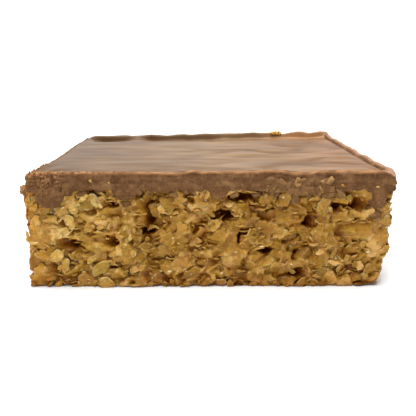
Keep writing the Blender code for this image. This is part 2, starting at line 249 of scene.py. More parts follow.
def shaped(points):
    """The left side moved in behind its front corner, that corner filled out, and the low right one worn."""
    behind = as_share((points[:, 1] + HALF_DEPTH) / LEFT_STEP_REACH)
    leftwards = np.maximum(-points[:, 0] / HALF_WIDTH, 0.0)
    rightwards = as_share((points[:, 0] - HALF_WIDTH) / CORNER_REACH + 1)
    near = as_share(1 - (points[:, 1] + HALF_DEPTH) / CORNER_REACH)
    oats = as_share((INTERFACE_HEIGHT - points[:, 2]) / OATS_FADE)
    low = as_share(1 - points[:, 2] / WORN_HEIGHT)
    made = points.copy()
    made[:, 0] += LEFT_STEP * behind * leftwards
    made[:, 0] -= CORNER_FILL * oats * near * as_share((leftwards - CORNER_FILL_FROM) / CORNER_FILL_OVER)
    made[:, 0] += (CORNER_BULGE * (1 - low) - CORNER_WEAR * low) * near * rightwards
    made[:, 2] += CORNER_LIFT * low**3 * near * rightwards**2
    return made


# Meshes from arrays.


def linked(name, data):
    """An object in the scene."""
    made = bpy.data.objects.new(name, data)
    bpy.context.scene.collection.objects.link(made)
    return made


def mesh_object(name, points, triangles, looks, grain=None):
    """An object from arrays, with what its material reads: three shares as a colour, and a grain place."""
    mesh = bpy.data.meshes.new(name)
    mesh.from_pydata(shaped(np.array(points)), [], triangles)
    colours = mesh.color_attributes.new("looks", "FLOAT_COLOR", "POINT")
    rows = np.column_stack([looks, np.ones(len(looks))]).astype(np.float32)
    colours.data.foreach_set("color", rows.ravel())
    if grain is not None:
        places = mesh.attributes.new("grain", "FLOAT_VECTOR", "POINT")
        places.data.foreach_set("vector", grain.astype(np.float32).ravel())
    mesh.shade_smooth()
    return linked(name, mesh)


def fan_triangles(centre, ring, facing_up):
    ahead = np.roll(ring, -1)
    middle = np.full(len(ring), centre)
    return np.stack([middle, ring, ahead] if facing_up else [middle, ahead, ring], axis=-1)


def shell_triangles(rows, columns):
    """Triangles of a closed form: closed rows of points, joined in turn, and a middle point at each end."""
    starts, ring = np.arange(rows - 1)[:, None] * columns, np.arange(columns)
    lower, ahead = starts + ring, starts + np.roll(ring, -1)
    first = np.stack([lower, ahead, ahead + columns], axis=-1).reshape(-1, 3)
    second = np.stack([lower, ahead + columns, lower + columns], axis=-1).reshape(-1, 3)
    bottom = fan_triangles(rows * columns, ring, False)
    top = fan_triangles(rows * columns + 1, ring + (rows - 1) * columns, True)
    return np.concatenate([first, second, bottom, top])


# Rolled oat flakes.


@dataclass
class FlakeKind:
    """One kind of flake. Its lengths and its reach out of the cut face are in millimetres."""

    name: str
    segments: int
    rings: tuple
    lengths: tuple = (0, 0)
    tears: tuple = (0,)
    spacing: float = 0.0
    reach: tuple = (0, 0)
    facing_share: float = 0.0
    bedded_share: float = 0.0
    hollow_margin: float = 1.0


RINGS, FEW_RINGS, TEARS = (0.45, 0.8, 1.0), (0.6, 1.0), (0, 0, 1, 1, 2)
MIDDLE_FLAKES = FlakeKind(
    "oat_flakes_middle", 18, RINGS, (3.8, 6.4), TEARS, 3.3 * MM, (-1.1, -0.15), 0.4, 0.46, 0.95
)
OUTER_FLAKES = FlakeKind(
    "oat_flakes_outer", 24, RINGS, (3.4, 6.0), TEARS, 4.1 * MM, (-0.5, 0.25), 0.34, 0.5, 1.1
)
OAT_BITS = FlakeKind("oat_bits", 10, FEW_RINGS, (1.2, 2.8), TEARS, 2.7 * MM, (-0.7, 0.2), 0.35, 0.4, 0.9)
USUAL_LENGTH = 5 * MM
BREADTHS, THICKNESSES = (0.6, 0.86), (0.34, 0.6)
# Waves round a flake's edge: how many, and how high as a share of its radius.
EDGE_WAVES = ((2, 0.09), (3, 0.09), (5, 0.07))
GRAIN_DEPTHS = 400
CUT_SHARE, CUT_OVERREACH, KNIFE_YIELD = 0.3, 1.2 * MM, 0.12
LOWEST_CENTRE, HIGHEST_CENTRE, CEILING = 1.0 * MM, 25.4 * MM, 27.3 * MM
TUCKED_UNDER = 1.3 * MM
FACING_SPREAD, BEDDED_SPREAD = 0.5, 0.42
FLOOR_YIELD, DEEPEST = 0.04, 5 * MM


def flake_triangles(segments, ring_count):
    """The shared topology: upper centre, upper rings, shared rim, lower rings, lower centre."""
    upper = 1 + np.arange(ring_count * segments).reshape(ring_count, segments)
    first_lower = 1 + ring_count * segments
    lower = first_lower + np.arange((ring_count - 1) * segments).reshape(ring_count - 1, segments)
    under = np.concatenate([lower, upper[-1:]])
    lower_centre = first_lower + (ring_count - 1) * segments
    parts = [fan_triangles(0, upper[0], True), fan_triangles(lower_centre, under[0], False)]
    for k in range(ring_count - 1):
        ahead, next_ahead = np.roll(upper[k], -1), np.roll(upper[k + 1], -1)
        parts.append(np.stack([upper[k], upper[k + 1], next_ahead], axis=-1))
        parts.append(np.stack([upper[k], next_ahead, ahead], axis=-1))
        ahead, next_ahead = np.roll(under[k], -1), np.roll(under[k + 1], -1)
        parts.append(np.stack([under[k], next_ahead, under[k + 1]], axis=-1))
        parts.append(np.stack([under[k], ahead, next_ahead], axis=-1))
    return np.concatenate(parts)


def wavy_edge(angles, waves, rng):
    """Radius shares round an edge: 1, with waves added."""
    edge = np.ones_like(angles)
    for count, size in waves:
        edge = edge + size * np.cos(count * angles + rng.uniform(0, math.tau))
    return edge


def crumpled(level, u, v, pitches, sizes, rng, scale=1.0):
    """A level with two sets of parallel waves added, each of a random direction, pitch and size."""
    for _ in range(2):
        turn, pitch = rng.uniform(0, math.tau), rng.uniform(*pitches)
        waves = np.sin(pitch * (u * math.cos(turn) + v * math.sin(turn)) + rng.uniform(0, math.tau))
        level = level + scale * rng.uniform(*sizes) * waves
    return level


def flake_outline(segments, rng):
    """Radius shares round the edge: an uneven oval with small teeth and a bite or two."""
    angles = np.arange(segments) * math.tau / segments
    outline = wavy_edge(angles, EDGE_WAVES, rng)
    outline += jitters(segments, -0.1, 0.06, rng)
    for _ in range(rng.choice((0, 1, 1, 2))):
        away = np.abs((angles - rng.uniform(0, math.tau) + math.pi) % math.tau - math.pi)
        outline -= rng.uniform(0.15, 0.42) * np.exp(-((away / rng.uniform(0.2, 0.4)) ** 2))
    return angles, outline


def flake_points(kind, length, rng):
    """One torn and crumpled rolled oat about its own centre, with a rim share for each point."""
    angles, outline = flake_outline(kind.segments, rng)
    shares = np.array(kind.rings)[:, None]
    u = (shares * outline * np.cos(angles)).ravel()
    v = (shares * outline * np.sin(angles)).ravel()
    rim = np.repeat(kind.rings, kind.segments)
    for _ in range(rng.choice(kind.tears)):
        turn, keep = rng.uniform(0, math.tau), rng.uniform(0.3, 0.85)
        teeth = jitters(len(u), -0.09, 0.09, rng)
        over = np.maximum(u * math.cos(turn) + v * math.sin(turn) - keep - teeth, 0.0)
        u, v = u - over * math.cos(turn), v - over * math.sin(turn)
    u, v, rim = np.append(0.0, u), np.append(0.0, v), np.append(0.0, rim)

    small = length / USUAL_LENGTH
    bend, cross, twist = rng.gauss(0, 0.55), rng.gauss(0, 0.35), rng.gauss(0, 0.4)
    frill, waves = rng.uniform(0.15, 0.5), rng.choice((2, 3, 4, 5))
    middle = small * (bend * u**2 + cross * v**2 + twist * u * v)
    middle += small * frill * rim**2 * np.sin(waves * np.arctan2(v, u) + rng.uniform(0, math.tau))
    middle = crumpled(middle, u, v, (2.5, 6), (0.04, 0.14), rng, small)
    middle += jitters(len(u), -0.025, 0.025, rng)
    half = 0.5 * rng.uniform(*THICKNESSES) * min(small + 0.3, 1.0) * (1 - 0.6 * rim**2)

    breadth = length * rng.uniform(*BREADTHS)
    x, y = u * length / 2, v * breadth / 2
    upper, lower = (np.stack([x, y, side * MM], axis=-1) for side in (middle + half, middle - half))
    inner = slice(1, 1 + (len(kind.rings) - 1) * kind.segments)
    upper[inner.stop :, 2] = middle[inner.stop :] * MM
    points = np.concatenate([upper, lower[inner], lower[:1]])
    return points, np.concatenate([rim, rim[inner], rim[:1]])


def grain_of(points, rng):
    """Where points lie in their flake's fibres, in millimetres, and a third place that sets flakes apart."""
    return np.column_stack([points[:, :2] / MM, np.full(len(points), rng.uniform(0, GRAIN_DEPTHS))])


def looks_of(tone, depth, rims):
    return np.column_stack([np.broadcast_to(value, len(rims)) for value in (tone, depth, rims)])


def direction_near(axis, spread, rng):
    """A direction tipped away from an axis by a random angle of this spread."""
    tip = random_vector(rng)
    tip -= axis * tip.dot(axis)
    return (axis + tip.normalized() * math.tan(min(abs(rng.gauss(0, spread)), 1.3))).normalized()


def turn_facing(normal, rng):
    """A rotation that lays a flake across a direction, its length any way round."""
    along = normal.orthogonal().normalized()
    along.rotate(Matrix.Rotation(rng.uniform(0, math.tau), 3, normal))
    return np.array(Matrix((along, normal.cross(along), normal)))


def flake_turn(outward, kind, rng):
    """How a flake lies: facing out of the cut, bedded flat as pressed, or any way."""
    pick = rng.random()
    if pick < kind.facing_share:
        normal = direction_near(outward, FACING_SPREAD, rng)
    elif pick < kind.facing_share + kind.bedded_share:
        normal = direction_near(Vector((0, 0, 1)), BEDDED_SPREAD, rng)
    else:
        normal = random_vector(rng).normalized()
    return turn_facing(normal, rng)


def set_in_face(points, base, outward, reach, limit):
    """Moves a flake to its reach, presses back what is past the limit, and gives its depth shares."""
    stand, out = face_stand(base), np.array(outward)
    points += base + out * (stand + reach - (points @ out).max())
    distance, direction = outside_face(points)
    over = np.maximum(distance - stand - limit, 0.0) * (1 - KNIFE_YIELD)
    points[:, :2] -= direction * over[:, None]
    return as_share(-(distance - stand - over) / DEEPEST)


def pressed(heights, floor, share):
    """Heights below a level brought near it."""
    return np.where(heights < floor, floor + (heights - floor) * share, heights)


def hollow_depth(distance, height, margin):
    """0 outside every hollow, rising to 1 at a hollow's middle."""
    deepest = 0.0
    for centre, level, wide, tall in HOLLOWS:
        away = along_outline(centre, distance) / (wide * margin)
        if abs(away) < 1:
            deepest = max(deepest, 1 - math.hypot(away, (height - level) / (tall * margin)))
    return deepest


def flake_sites(kind, rng):
    """Staggered places over the cut faces, with jitter, leaving the hollows open."""
    columns = round(footprint_length() / kind.spacing)
    rows = round((HIGHEST_CENTRE - LOWEST_CENTRE) / (kind.spacing * 0.87))
    for row in range(rows + 1):
        for column in range(columns):
            distance = (column + 0.5 * (row % 2) + rng.uniform(-0.4, 0.4)) * kind.spacing
            level = row + rng.uniform(-0.4, 0.4)
            height = LOWEST_CENTRE + (HIGHEST_CENTRE - LOWEST_CENTRE) * level / rows
            if hollow_depth(distance, height, kind.hollow_margin) == 0.0:
                yield distance, max(height, 0.5 * MM)


def place_flake(kind, distance, height, rng):
    """A flake turned, set to its reach, cut flush and kept off the floor, with its looks."""
    points, rims = flake_points(kind, rng.uniform(*kind.lengths) * MM, rng)
    grain = grain_of(points, rng)
    place, outward = footprint_point(distance)
    outward = outward.to_3d()
    points = points @ flake_turn(outward, kind, rng)
    reach = limit = rng.uniform(*kind.reach) * MM
    if rng.random() < CUT_SHARE:
        reach += rng.uniform(0.3, 1.0) * CUT_OVERREACH
    if height > INTERFACE_HEIGHT - drip_drop(distance) - TUCKED_UNDER:
        reach = limit = min(reach, rng.uniform(-1.0, -0.05) * MM)
    depth = set_in_face(points, np.array((*place, height)), outward, reach, limit)
    heights = pressed(points[:, 2], rng.uniform(0.0, 0.14) * MM, FLOOR_YIELD)
    points[:, 2] = np.clip(heights, 0.0, CEILING)
    return points, looks_of(0.5 + 0.75 * (rng.betavariate(2, 2) - 0.5), depth, rims), grain


def join_flakes(kind, flakes):
    """One object of many flakes."""
    points, looks, grain = (np.concatenate(part) for part in zip(*flakes))
    firsts = np.arange(len(flakes)) * len(flakes[0][0])
    triangles = flake_triangles(kind.segments, len(kind.rings)) + firsts[:, None, None]
    return mesh_object(kind.name, points, triangles.reshape(-1, 3), looks, grain)


# The clearest flakes of the front face: where along it, height and length in millimetres, the tilt of the
# long way and the lean back towards lying flat, both in degrees, and the tone.
CLEAR_FLAKES = (
    (-37.6, 8.0, 3.9, 45, 10, 0.75),
    (-35.9, 5.6, 4.0, 60, 5, 0.65),
    (-17.4, 5.3, 4.6, 10, 35, 0.7),
    (-21.2, 13.9, 4.6, 15, 40, 0.7),
    (-10.7, 19.8, 4.6, -60, 15, 0.9),
    (-3.5, 21.1, 5.2, 8, 75, 1.0),
    (-19.2, 13.1, 1.9, 80, 10, 1.0),
    (-34.7, 14.2, 2.8, 10, 70, 0.95),
    (-36.4, 13.1, 1.9, 50, 20, 1.0),
    (-7.1, 14.9, 4.4, 60, 15, 0.7),
    (-27.0, 21.6, 3.4, -50, 15, 0.85),
    (-30.2, 22.9, 2.6, 20, 30, 0.7),
    (-42.4, 12.1, 3.0, -15, 45, 0.9),
    (31.4, 6.7, 6.4, -8, 70, 1.0),
    (25.3, 11.6, 5.2, 6, 60, 0.8),
    (17.0, 13.6, 4.6, 35, 25, 0.9),
    (10.6, 12.9, 4.2, -70, 15, 0.55),
    (18.3, 22.3, 4.6, 60, 10, 0.5),
    (4.5, 21.3, 3.5, 5, 55, 0.9),
    (13.1, 20.1, 4.6, 5, 65, 0.8),
    (10.0, 24.3, 3.6, -5, 75, 0.95),
    (1.1, 15.9, 3.6, 25, 15, 0.75),
    (37.2, 5.4, 3.0, 40, 20, 0.9),
    (13.7, 6.7, 5.6, 30, 35, 0.6),
    (29.3, 20.1, 1.4, -60, 20, 1.0),
    (27.6, 22.4, 1.6, 10, 30, 1.0),
    (27.1, 9.0, 2.2, 20, 35, 1.0),
    (-41.5, 17.0, 3.2, 80, 15, 0.7),
    (-40.5, 8.5, 3.4, -20, 20, 0.55),
    (-38.5, 17.5, 4.2, -30, 15, 0.65),
    (-41.8, 20.6, 2.8, 60, 20, 0.6),
    (-39.3, 2.2, 3.0, 5, 40, 0.5),
    (-41.6, 4.8, 4.0, -5, 20, 0.8),
)
CLEAR_FLAKE_REACH, CLEAR_FLAKE_FATNESS = 0.35 * MM, 0.7
TOWARDS_FRONT = Vector((0, -1, 0))


def clear_flake(kind, x, height, length, tilt, lean, tone, rng):
    """A flake of the front face that shows clearly, turned as given."""
    points, rims = flake_points(kind, length * MM, rng)
    points[:, 2] *= CLEAR_FLAKE_FATNESS
    grain = grain_of(points, rng)
    tilt, lean = math.radians(tilt), math.radians(lean)
    along, upward = Vector((math.cos(tilt), 0, math.sin(tilt))), Vector((-math.sin(tilt), 0, math.cos(tilt)))
    normal = TOWARDS_FRONT * math.cos(lean) + upward * math.sin(lean)
    points = points @ np.array(Matrix((along, normal.cross(along), normal)))
    base = np.array((x * MM, -HALF_DEPTH, height * MM))
    depth = set_in_face(points, base, TOWARDS_FRONT, CLEAR_FLAKE_REACH, CLEAR_FLAKE_REACH)
    points[:, 2] = np.clip(points[:, 2], 0.0, CEILING)
    return points, looks_of(tone, depth, rims), grain


def make_flakes(kind, rng):
    flakes = [place_flake(kind, distance, height, rng) for distance, height in flake_sites(kind, rng)]
    if kind is OUTER_FLAKES:
        flakes += [clear_flake(kind, *flake, rng) for flake in CLEAR_FLAKES]
    return join_flakes(kind, flakes)


# The mass that the flakes are glued on: flakes merged in syrup, as a relief in millimetres.

MASS_COLUMNS, MASS_ROWS = 980, 82
MASS_TOP = INTERFACE_HEIGHT + 1.4 * MM
SYRUP_LEVEL, SYRUP_SPAN, SYRUP_RELIEF, SYRUP_TONE = -2.1, 2.6, 0.4, 0.3
KNIFE_LEVEL = -0.15
MERGED_SPACING, MERGED_LEVELS = 2.3, (-1.9, -0.35)
MERGED_HALF_LENGTHS, MERGED_REACH = (1.7, 3.3), 4.2
MERGED_BORDER, MERGED_BORDER_FROM = 0.45, 0.75
MERGED_WAVES = ((2, 0.12), (3, 0.12), (5, 0.1), (8, 0.08), (13, 0.06))
LAYERED_SHARE, LAYERED_WAVE_PITCH = 0.54, 2.4
FULL_CORNER_REACH, CORNER_FULLNESS = 5 * MM, 0.4
HOLLOW_EXTRA, HOLLOW_RAGGED, HOLLOW_RAGGED_SPAN, HOLLOW_SLICE = 3.4, 0.35, 0.9, 50.0
UNDERSIDE_RINGS, UNDERSIDE_RELIEF, UNDERSIDE_SPAN = 12, 0.15 * MM, 2.5 * MM
# The underside's depth share gives it some of the painted shade of deep places.
UNDERSIDE_DEPTH, UNDERSIDE_INSET = 0.2, 0.3 * MM


class Relief:
    """A sheet over the cut faces, unrolled, in millimetres: how far out it lies, and its looks."""

    def __init__(self, rng):
        self.rng = rng
        self.length, self.height = footprint_length() / MM, MASS_TOP / MM
        self.along = np.arange(MASS_COLUMNS) * self.length / MASS_COLUMNS
        self.up = (np.arange(MASS_ROWS) + 1) * self.height / MASS_ROWS
        shape = (MASS_ROWS, MASS_COLUMNS)
        self.out, self.tone = np.full(shape, SYRUP_LEVEL), np.full(shape, SYRUP_TONE)
        self.rim, self.grain = np.zeros(shape), np.zeros((*shape, 3))

    def rough(self, span, start):
        """Smooth noise over the sheet, about -1 to 1, which meets itself round the slice."""
        wrap, turns = self.length / math.tau / span, self.along / self.length * math.tau
        circle = [(wrap * math.cos(turn), wrap * math.sin(turn)) for turn in turns]
        return np.array([[noise_at(*place, height / span + start) for place in circle] for height in self.up])

    def away_from(self, along):
        """The signed way from a place along the sheet to each column, the short way round."""
        return (self.along - along + self.length / 2) % self.length - self.length / 2

    def lay(self, along, up):
        """Lays one flake: facing out and tilted, or on edge as a wavy ridge, its upper edge standing out."""
        rng = self.rng
        layered = rng.random() < LAYERED_SHARE
        half_length = rng.uniform(*MERGED_HALF_LENGTHS)
        if layered:
            half_breadth, turn = rng.uniform(0.6, 1.3), rng.gauss(0, 0.3)
            slope_along, slope_up, wave = rng.gauss(0, 0.15), rng.uniform(0.3, 1.1), rng.uniform(0.15, 0.45)
        else:
            half_breadth, turn = half_length * rng.uniform(0.5, 0.85), rng.uniform(0, math.pi)
            slope_along, slope_up, wave = rng.gauss(0, 0.3), rng.gauss(-0.05, 0.4), rng.uniform(0.0, 0.2)
        away = self.away_from(along)
        columns = np.nonzero(np.abs(away) < MERGED_REACH)[0]
        rows = np.nonzero(np.abs(self.up - up) < MERGED_REACH)[0]
        window = np.ix_(rows, columns)
        across, upward = away[columns][None, :], (self.up[rows] - up)[:, None]
        u = across * math.cos(turn) + upward * math.sin(turn)
        v = upward * math.cos(turn) - across * math.sin(turn)
        v = v - wave * np.sin(LAYERED_WAVE_PITCH * u + rng.uniform(0, math.tau))
        edge = wavy_edge(np.arctan2(v / half_breadth, u / half_length), MERGED_WAVES, rng)
        share = np.hypot(u / half_length, v / half_breadth) / edge
        level = rng.uniform(*MERGED_LEVELS) + slope_along * u + slope_up * v
        level = crumpled(level, u, v, (1.6, 3.6), (0.04, 0.16), rng)
        border = 0.3 * MERGED_BORDER if layered else MERGED_BORDER
        level = level - border * as_share((share - MERGED_BORDER_FROM) / (1 - MERGED_BORDER_FROM)) ** 2
        shown = (share < 1) & (level > self.out[window])
        for sheet, value in ((self.out, level), (self.tone, rng.betavariate(2, 2)), (self.rim, share)):
            sheet[window] = np.where(shown, value, sheet[window])
        grain = np.stack([u, v, np.full_like(u, rng.uniform(0, GRAIN_DEPTHS))], axis=-1)
        self.grain[window] = np.where(shown[..., None], grain, self.grain[window])

    def cover(self):
        """Lays flakes all over the syrup, then softens their edges."""
        self.out += SYRUP_RELIEF * self.rough(SYRUP_SPAN, 0.0)
        columns = round(self.length / MERGED_SPACING)
        rows = round(self.height / (0.8 * MERGED_SPACING))
        places = [(column, row) for row in range(rows + 1) for column in range(columns)]
        self.rng.shuffle(places)
        for column, row in places:
            along = (column + self.rng.uniform(-0.5, 0.5)) * self.length / columns
            self.lay(along, (row + self.rng.uniform(-0.5, 0.5)) * self.height / rows)
        padded = np.pad(np.pad(self.out, ((0, 0), (1, 1)), "wrap"), ((1, 1), (0, 0)), "edge")
        lines = padded[:-2] + 2 * padded[1:-1] + padded[2:]
        self.out = (lines[:, :-2] + 2 * lines[:, 1:-1] + lines[:, 2:]) / 16

    def carve(self):
        """Opens the hollows, with ragged edges."""
        ragged = HOLLOW_RAGGED * self.rough(HOLLOW_RAGGED_SPAN, HOLLOW_SLICE)
        for centre, level, wide, tall in HOLLOWS:
            across, upward = self.away_from(centre / MM)[None, :], self.up[:, None] - level / MM
            reach = np.hypot(across / (wide / MM), upward / (tall / MM))
            self.out -= HOLLOW_EXTRA * as_share((1.2 - reach - ragged) / 0.5)


def make_mass(rng):
    """The sides as a relief, an underside in rings to its middle, and a plain top inside the chocolate."""
    relief = Relief(rng)
    relief.cover()
    relief.carve()
    distances, corner = relief.along * MM, Vector((HALF_WIDTH, HALF_DEPTH))
    places = [footprint_point(distance)[0] for distance in distances]
    away = np.array([(Vector((abs(place.x), abs(place.y))) - corner).length for place in places])
    fullness = CORNER_FULLNESS * as_share(1 - away / FULL_CORNER_REACH)
    inset = -np.minimum(relief.out, KNIFE_LEVEL) * MM * (1 - fullness)
    foot = [face_point(d, 0.0, depth)[:2] for d, depth in zip(distances, inset[0] + UNDERSIDE_INSET)]
    points, looks, grains = [], [], []
    for ring in range(1, UNDERSIDE_RINGS + 1):
        for x, y in np.array(foot) * (ring / UNDERSIDE_RINGS):
            lumps = noise_at(x, y, 0.0, UNDERSIDE_SPAN)
            points.append((x, y, UNDERSIDE_RELIEF * (1 + lumps)))
            looks.append((0.5 + 0.5 * lumps, UNDERSIDE_DEPTH, 0.0))
            grains.append((x / MM, y / MM, 0.0))
    for row, height in zip(inset, relief.up * MM):
        points += [face_point(distance, height, depth) for distance, depth in zip(distances, row)]
    sides = [relief.tone.ravel(), as_share(inset / DEEPEST).ravel(), relief.rim.ravel()]
    looks = np.concatenate([looks, np.stack(sides, axis=-1), [(0.5, UNDERSIDE_DEPTH, 0.0)] * 2])
    grains = np.concatenate([grains, relief.grain.reshape(-1, 3), np.zeros((2, 3))])
    points += [(0.0, 0.0, UNDERSIDE_RELIEF), (0.0, 0.0, MASS_TOP)]
    triangles = shell_triangles(UNDERSIDE_RINGS + MASS_ROWS, MASS_COLUMNS)
    return mesh_object("oat_mass", points, triangles, looks, grains)


# Flakes pressed into the underside.

UNDER_KIND = FlakeKind("oat_flakes_under", 12, FEW_RINGS, (4.2, 6.8), TEARS, 4.0 * MM)
UNDER_MARGIN = 2.5 * MM
# The underside flakes' depth share gives them some of the painted shade of deep places.
UNDER_FATNESS, UNDER_YIELD, UNDER_DEPTH, UNDER_LEAN = 0.6, 0.05, 0.3, 0.07


def make_underside_flakes(rng):
    """Flat flakes in rows over the underside, pressed level by the tin."""
    kind, flakes = UNDER_KIND, []
    columns, rows = (int((side - 2 * UNDER_MARGIN) / kind.spacing) for side in (BAR_WIDTH, BAR_DEPTH))
    for row in range(rows + 1):
        for column in range(columns + 1):
            x = (column - columns / 2 + rng.uniform(-0.4, 0.4)) * kind.spacing
            y = (row - rows / 2 + rng.uniform(-0.4, 0.4)) * kind.spacing
            points, rims = flake_points(kind, rng.uniform(*kind.lengths) * MM, rng)
            grain = grain_of(points, rng)
            turn = Matrix.Rotation(rng.uniform(0, math.tau), 3, "Z")
            turn = turn @ Matrix.Rotation(rng.gauss(0, UNDER_LEAN), 3, "X")
            points = points @ np.array(turn).T
            heights = points[:, 2] * UNDER_FATNESS - points[:, 2].min() * UNDER_FATNESS
            heights -= rng.uniform(0.0, 0.25) * MM
            points[:, 2] = np.maximum(pressed(heights, rng.uniform(0.01, 0.1) * MM, UNDER_YIELD), 0)
            points += np.array((x, y, 0.0))
            flakes.append((points, looks_of(rng.uniform(0.1, 0.6), UNDER_DEPTH, rims), grain))
    return join_flakes(kind, flakes)


# Single crumbs, chips, and flakes that the chocolate has coated.

CRUMB_KIND = FlakeKind("oat_crumbs", 12, FEW_RINGS)
# Specks in the front of the chocolate, in millimetres: where along it, height and length.
WALL_CRUMBS = (
    (-28.2, 27.0, 0.9),
    (-23.9, 26.5, 0.7),
    (31.8, 25.8, 1.1),
    (39.7, 25.4, 0.8),
)
WALL_CRUMBS_PROUD, WALL_CRUMBS_TONE = 0.2 * MM, 0.6
BACK_CRUMB, BACK_CRUMB_LENGTH, BACK_CRUMB_TONE = Vector((24.7, 33.7, 30.2)) * MM, 1.9 * MM, 0.95
BACK_CRUMB_FACING, BACK_CRUMB_STEP = Vector((0.0, -0.85, 0.5)).normalized(), 1.1 * MM

CHIP_KIND = FlakeKind("chocolate_chips", 8, FEW_RINGS, (0.4, 1.2))
CHIPS_ON_CORNER, CHIPS_ON_EDGE, CHIPS_ON_SIDE = 170, 16, 46
CORNER_CHIPS_TO, EDGE_CHIPS_TO, SIDE_CHIPS_REACH = -35 * MM, -22 * MM, 22 * MM
EDGE_CHIP_SIZE, SIDE_CHIP_SIZE, CHIP_FATNESS, CHIP_SPREAD = 0.55, 0.9, 1.6, 0.7
LEFT_CRUMB, LEFT_CRUMB_RADIUS, LEFT_CRUMB_CHIPS = Vector((-44.4, -34.2, 24.8)) * MM, 0.5 * MM, 14
LEFT_CRUMB_LENGTH, LEFT_CRUMB_FATNESS = 4.2 * LEFT_CRUMB_RADIUS, 2.4

COATED_KIND = FlakeKind("coated_flakes", 16, (0.5, 1.0), (1.6, 4.4), (0, 0, 1), 1.9 * MM, (-0.25, 0.22))
COATED_SHARE, COATED_HEIGHTS, COATED_INSET, COATED_SPREAD = 0.62, (-0.9 * MM, 0.7 * MM), 0.35 * MM, 0.45
FILM_FLAKES, FILM_HEIGHTS, FILM_LENGTHS, FILM_SPREAD = 28, (24.2 * MM, 26.6 * MM), (1.6, 3.2), 0.42


def crumb(kind, place, length, facing, rng, fatness=1.0, tone=0.0):
    """A flake at a place, facing one way, with its looks."""
    points, rims = flake_points(kind, length, rng)
    points[:, 2] *= fatness
    turn = turn_facing(facing, rng)
    return points @ turn + np.array(place), looks_of(tone, 0.0, rims), grain_of(points, rng)


def coloured(flake, *look):
    """A flake with the same looks all over."""
    points, _, grain = flake
    return points, np.tile(look, (len(points), 1)), grain


def wall_place(distance, height, inset):
    """A place at an inset from the cut wall of the chocolate, as rough as it is."""
    return face_point(distance, height, inset - wall_relief(distance, height))


def make_crumbs(rng):
    """Oat specks in the cut chocolate, and one crumb of three small flakes on its back rim."""
    flakes = []
    for distance, height, length in on_front(WALL_CRUMBS):
        place = wall_place(distance, height, -WALL_CRUMBS_PROUD)
        flakes.append(crumb(CRUMB_KIND, place, length, TOWARDS_FRONT, rng, tone=WALL_CRUMBS_TONE))
    facing, tone = BACK_CRUMB_FACING, BACK_CRUMB_TONE
    for offset in (-BACK_CRUMB_STEP, 0.0, BACK_CRUMB_STEP):
        place = BACK_CRUMB + Vector((offset, 0, 0))
        flakes.append(crumb(CRUMB_KIND, place, BACK_CRUMB_LENGTH, facing, rng, tone=tone))
    return join_flakes(CRUMB_KIND, flakes)


def corner_chip(on_corner, rng):
    """A crumb of chocolate on the broken corner, paler towards its rim, or on the edge beside it."""
    x = rng.uniform(-HALF_WIDTH, CORNER_CHIPS_TO if on_corner else EDGE_CHIPS_TO)
    length = rng.uniform(*CHIP_KIND.lengths) * MM * (1.0 if on_corner else EDGE_CHIP_SIZE)
    distance = front_distance(x)
    highest = top_height(distance, 0.3 * MM, x, -HALF_DEPTH)[0]
    lowest = INTERFACE_HEIGHT - 0.8 * drip_drop(distance)
    height = rng.triangular(lowest, highest, highest) if on_corner else highest - 0.1 * MM
    place = wall_place(distance, height, rng.uniform(0.0, 0.15) * MM)
    facing = direction_near(TOWARDS_FRONT, CHIP_SPREAD, rng)
    chip = crumb(CHIP_KIND, place, length, facing, rng, CHIP_FATNESS)
    share = (height - lowest) / (highest - lowest) if on_corner else 0.3
    return coloured(chip, rng.uniform(0.0, 0.3) + 0.17 * min(3 * share, 1.0) + 0.42 * share**3, 0.0, 0.0)


def left_crumb_chip(rng):
    facing = random_vector(rng).normalized()
    place = LEFT_CRUMB + facing * LEFT_CRUMB_RADIUS
    chip = crumb(CHIP_KIND, place, LEFT_CRUMB_LENGTH, facing, rng, LEFT_CRUMB_FATNESS)
    return coloured(chip, rng.uniform(0.2, 0.7), 0.0, 0.2)


def side_chip(rng):
    """A crumb of chocolate on the rim of the left side, more of them towards the broken corner."""
    distance = -rng.triangular(0.0, SIDE_CHIPS_REACH, 0.0)
    place, outward = footprint_point(distance)
    height = top_height(distance, 0.4 * MM, *place)[0] - rng.uniform(0.0, 0.3) * MM
    place = face_point(distance, height, rng.uniform(-0.1, 0.5) * MM - side_wave(distance))
    facing = direction_near(outward.to_3d(), CHIP_SPREAD, rng)
    length = rng.uniform(*CHIP_KIND.lengths) * SIDE_CHIP_SIZE * MM
    chip = crumb(CHIP_KIND, place, length, facing, rng, CHIP_FATNESS)
    return coloured(chip, rng.uniform(0.1, 0.8), 0.0, 0.0)


def make_chocolate_chips(rng):
    """Small crumbs of chocolate over the broken corner, fewer on the edges and one chunk at the left end."""
    chips = [corner_chip(number < CHIPS_ON_CORNER, rng) for number in range(CHIPS_ON_CORNER + CHIPS_ON_EDGE)]
    chips += [left_crumb_chip(rng) for _ in range(LEFT_CRUMB_CHIPS)]
    chips += [side_chip(rng) for _ in range(CHIPS_ON_SIDE)]
    return join_flakes(CHIP_KIND, chips)


def coated_flake(distance, rng):
    """A flake at the lower edge of the chocolate, sunk in it and coated by it."""
    kind, (_, outward) = COATED_KIND, footprint_point(distance)
    edge = INTERFACE_HEIGHT - drip_drop(distance)
    reach = rng.uniform(*kind.reach) * MM
    place = face_point(distance, edge + rng.uniform(*COATED_HEIGHTS), COATED_INSET - reach)
    facing = direction_near(outward.to_3d(), COATED_SPREAD, rng)
    flake = crumb(kind, place, rng.uniform(*kind.lengths) * MM, facing, rng)
    return coloured(flake, 0.0, 0.0, rng.uniform(0.0, 0.5))


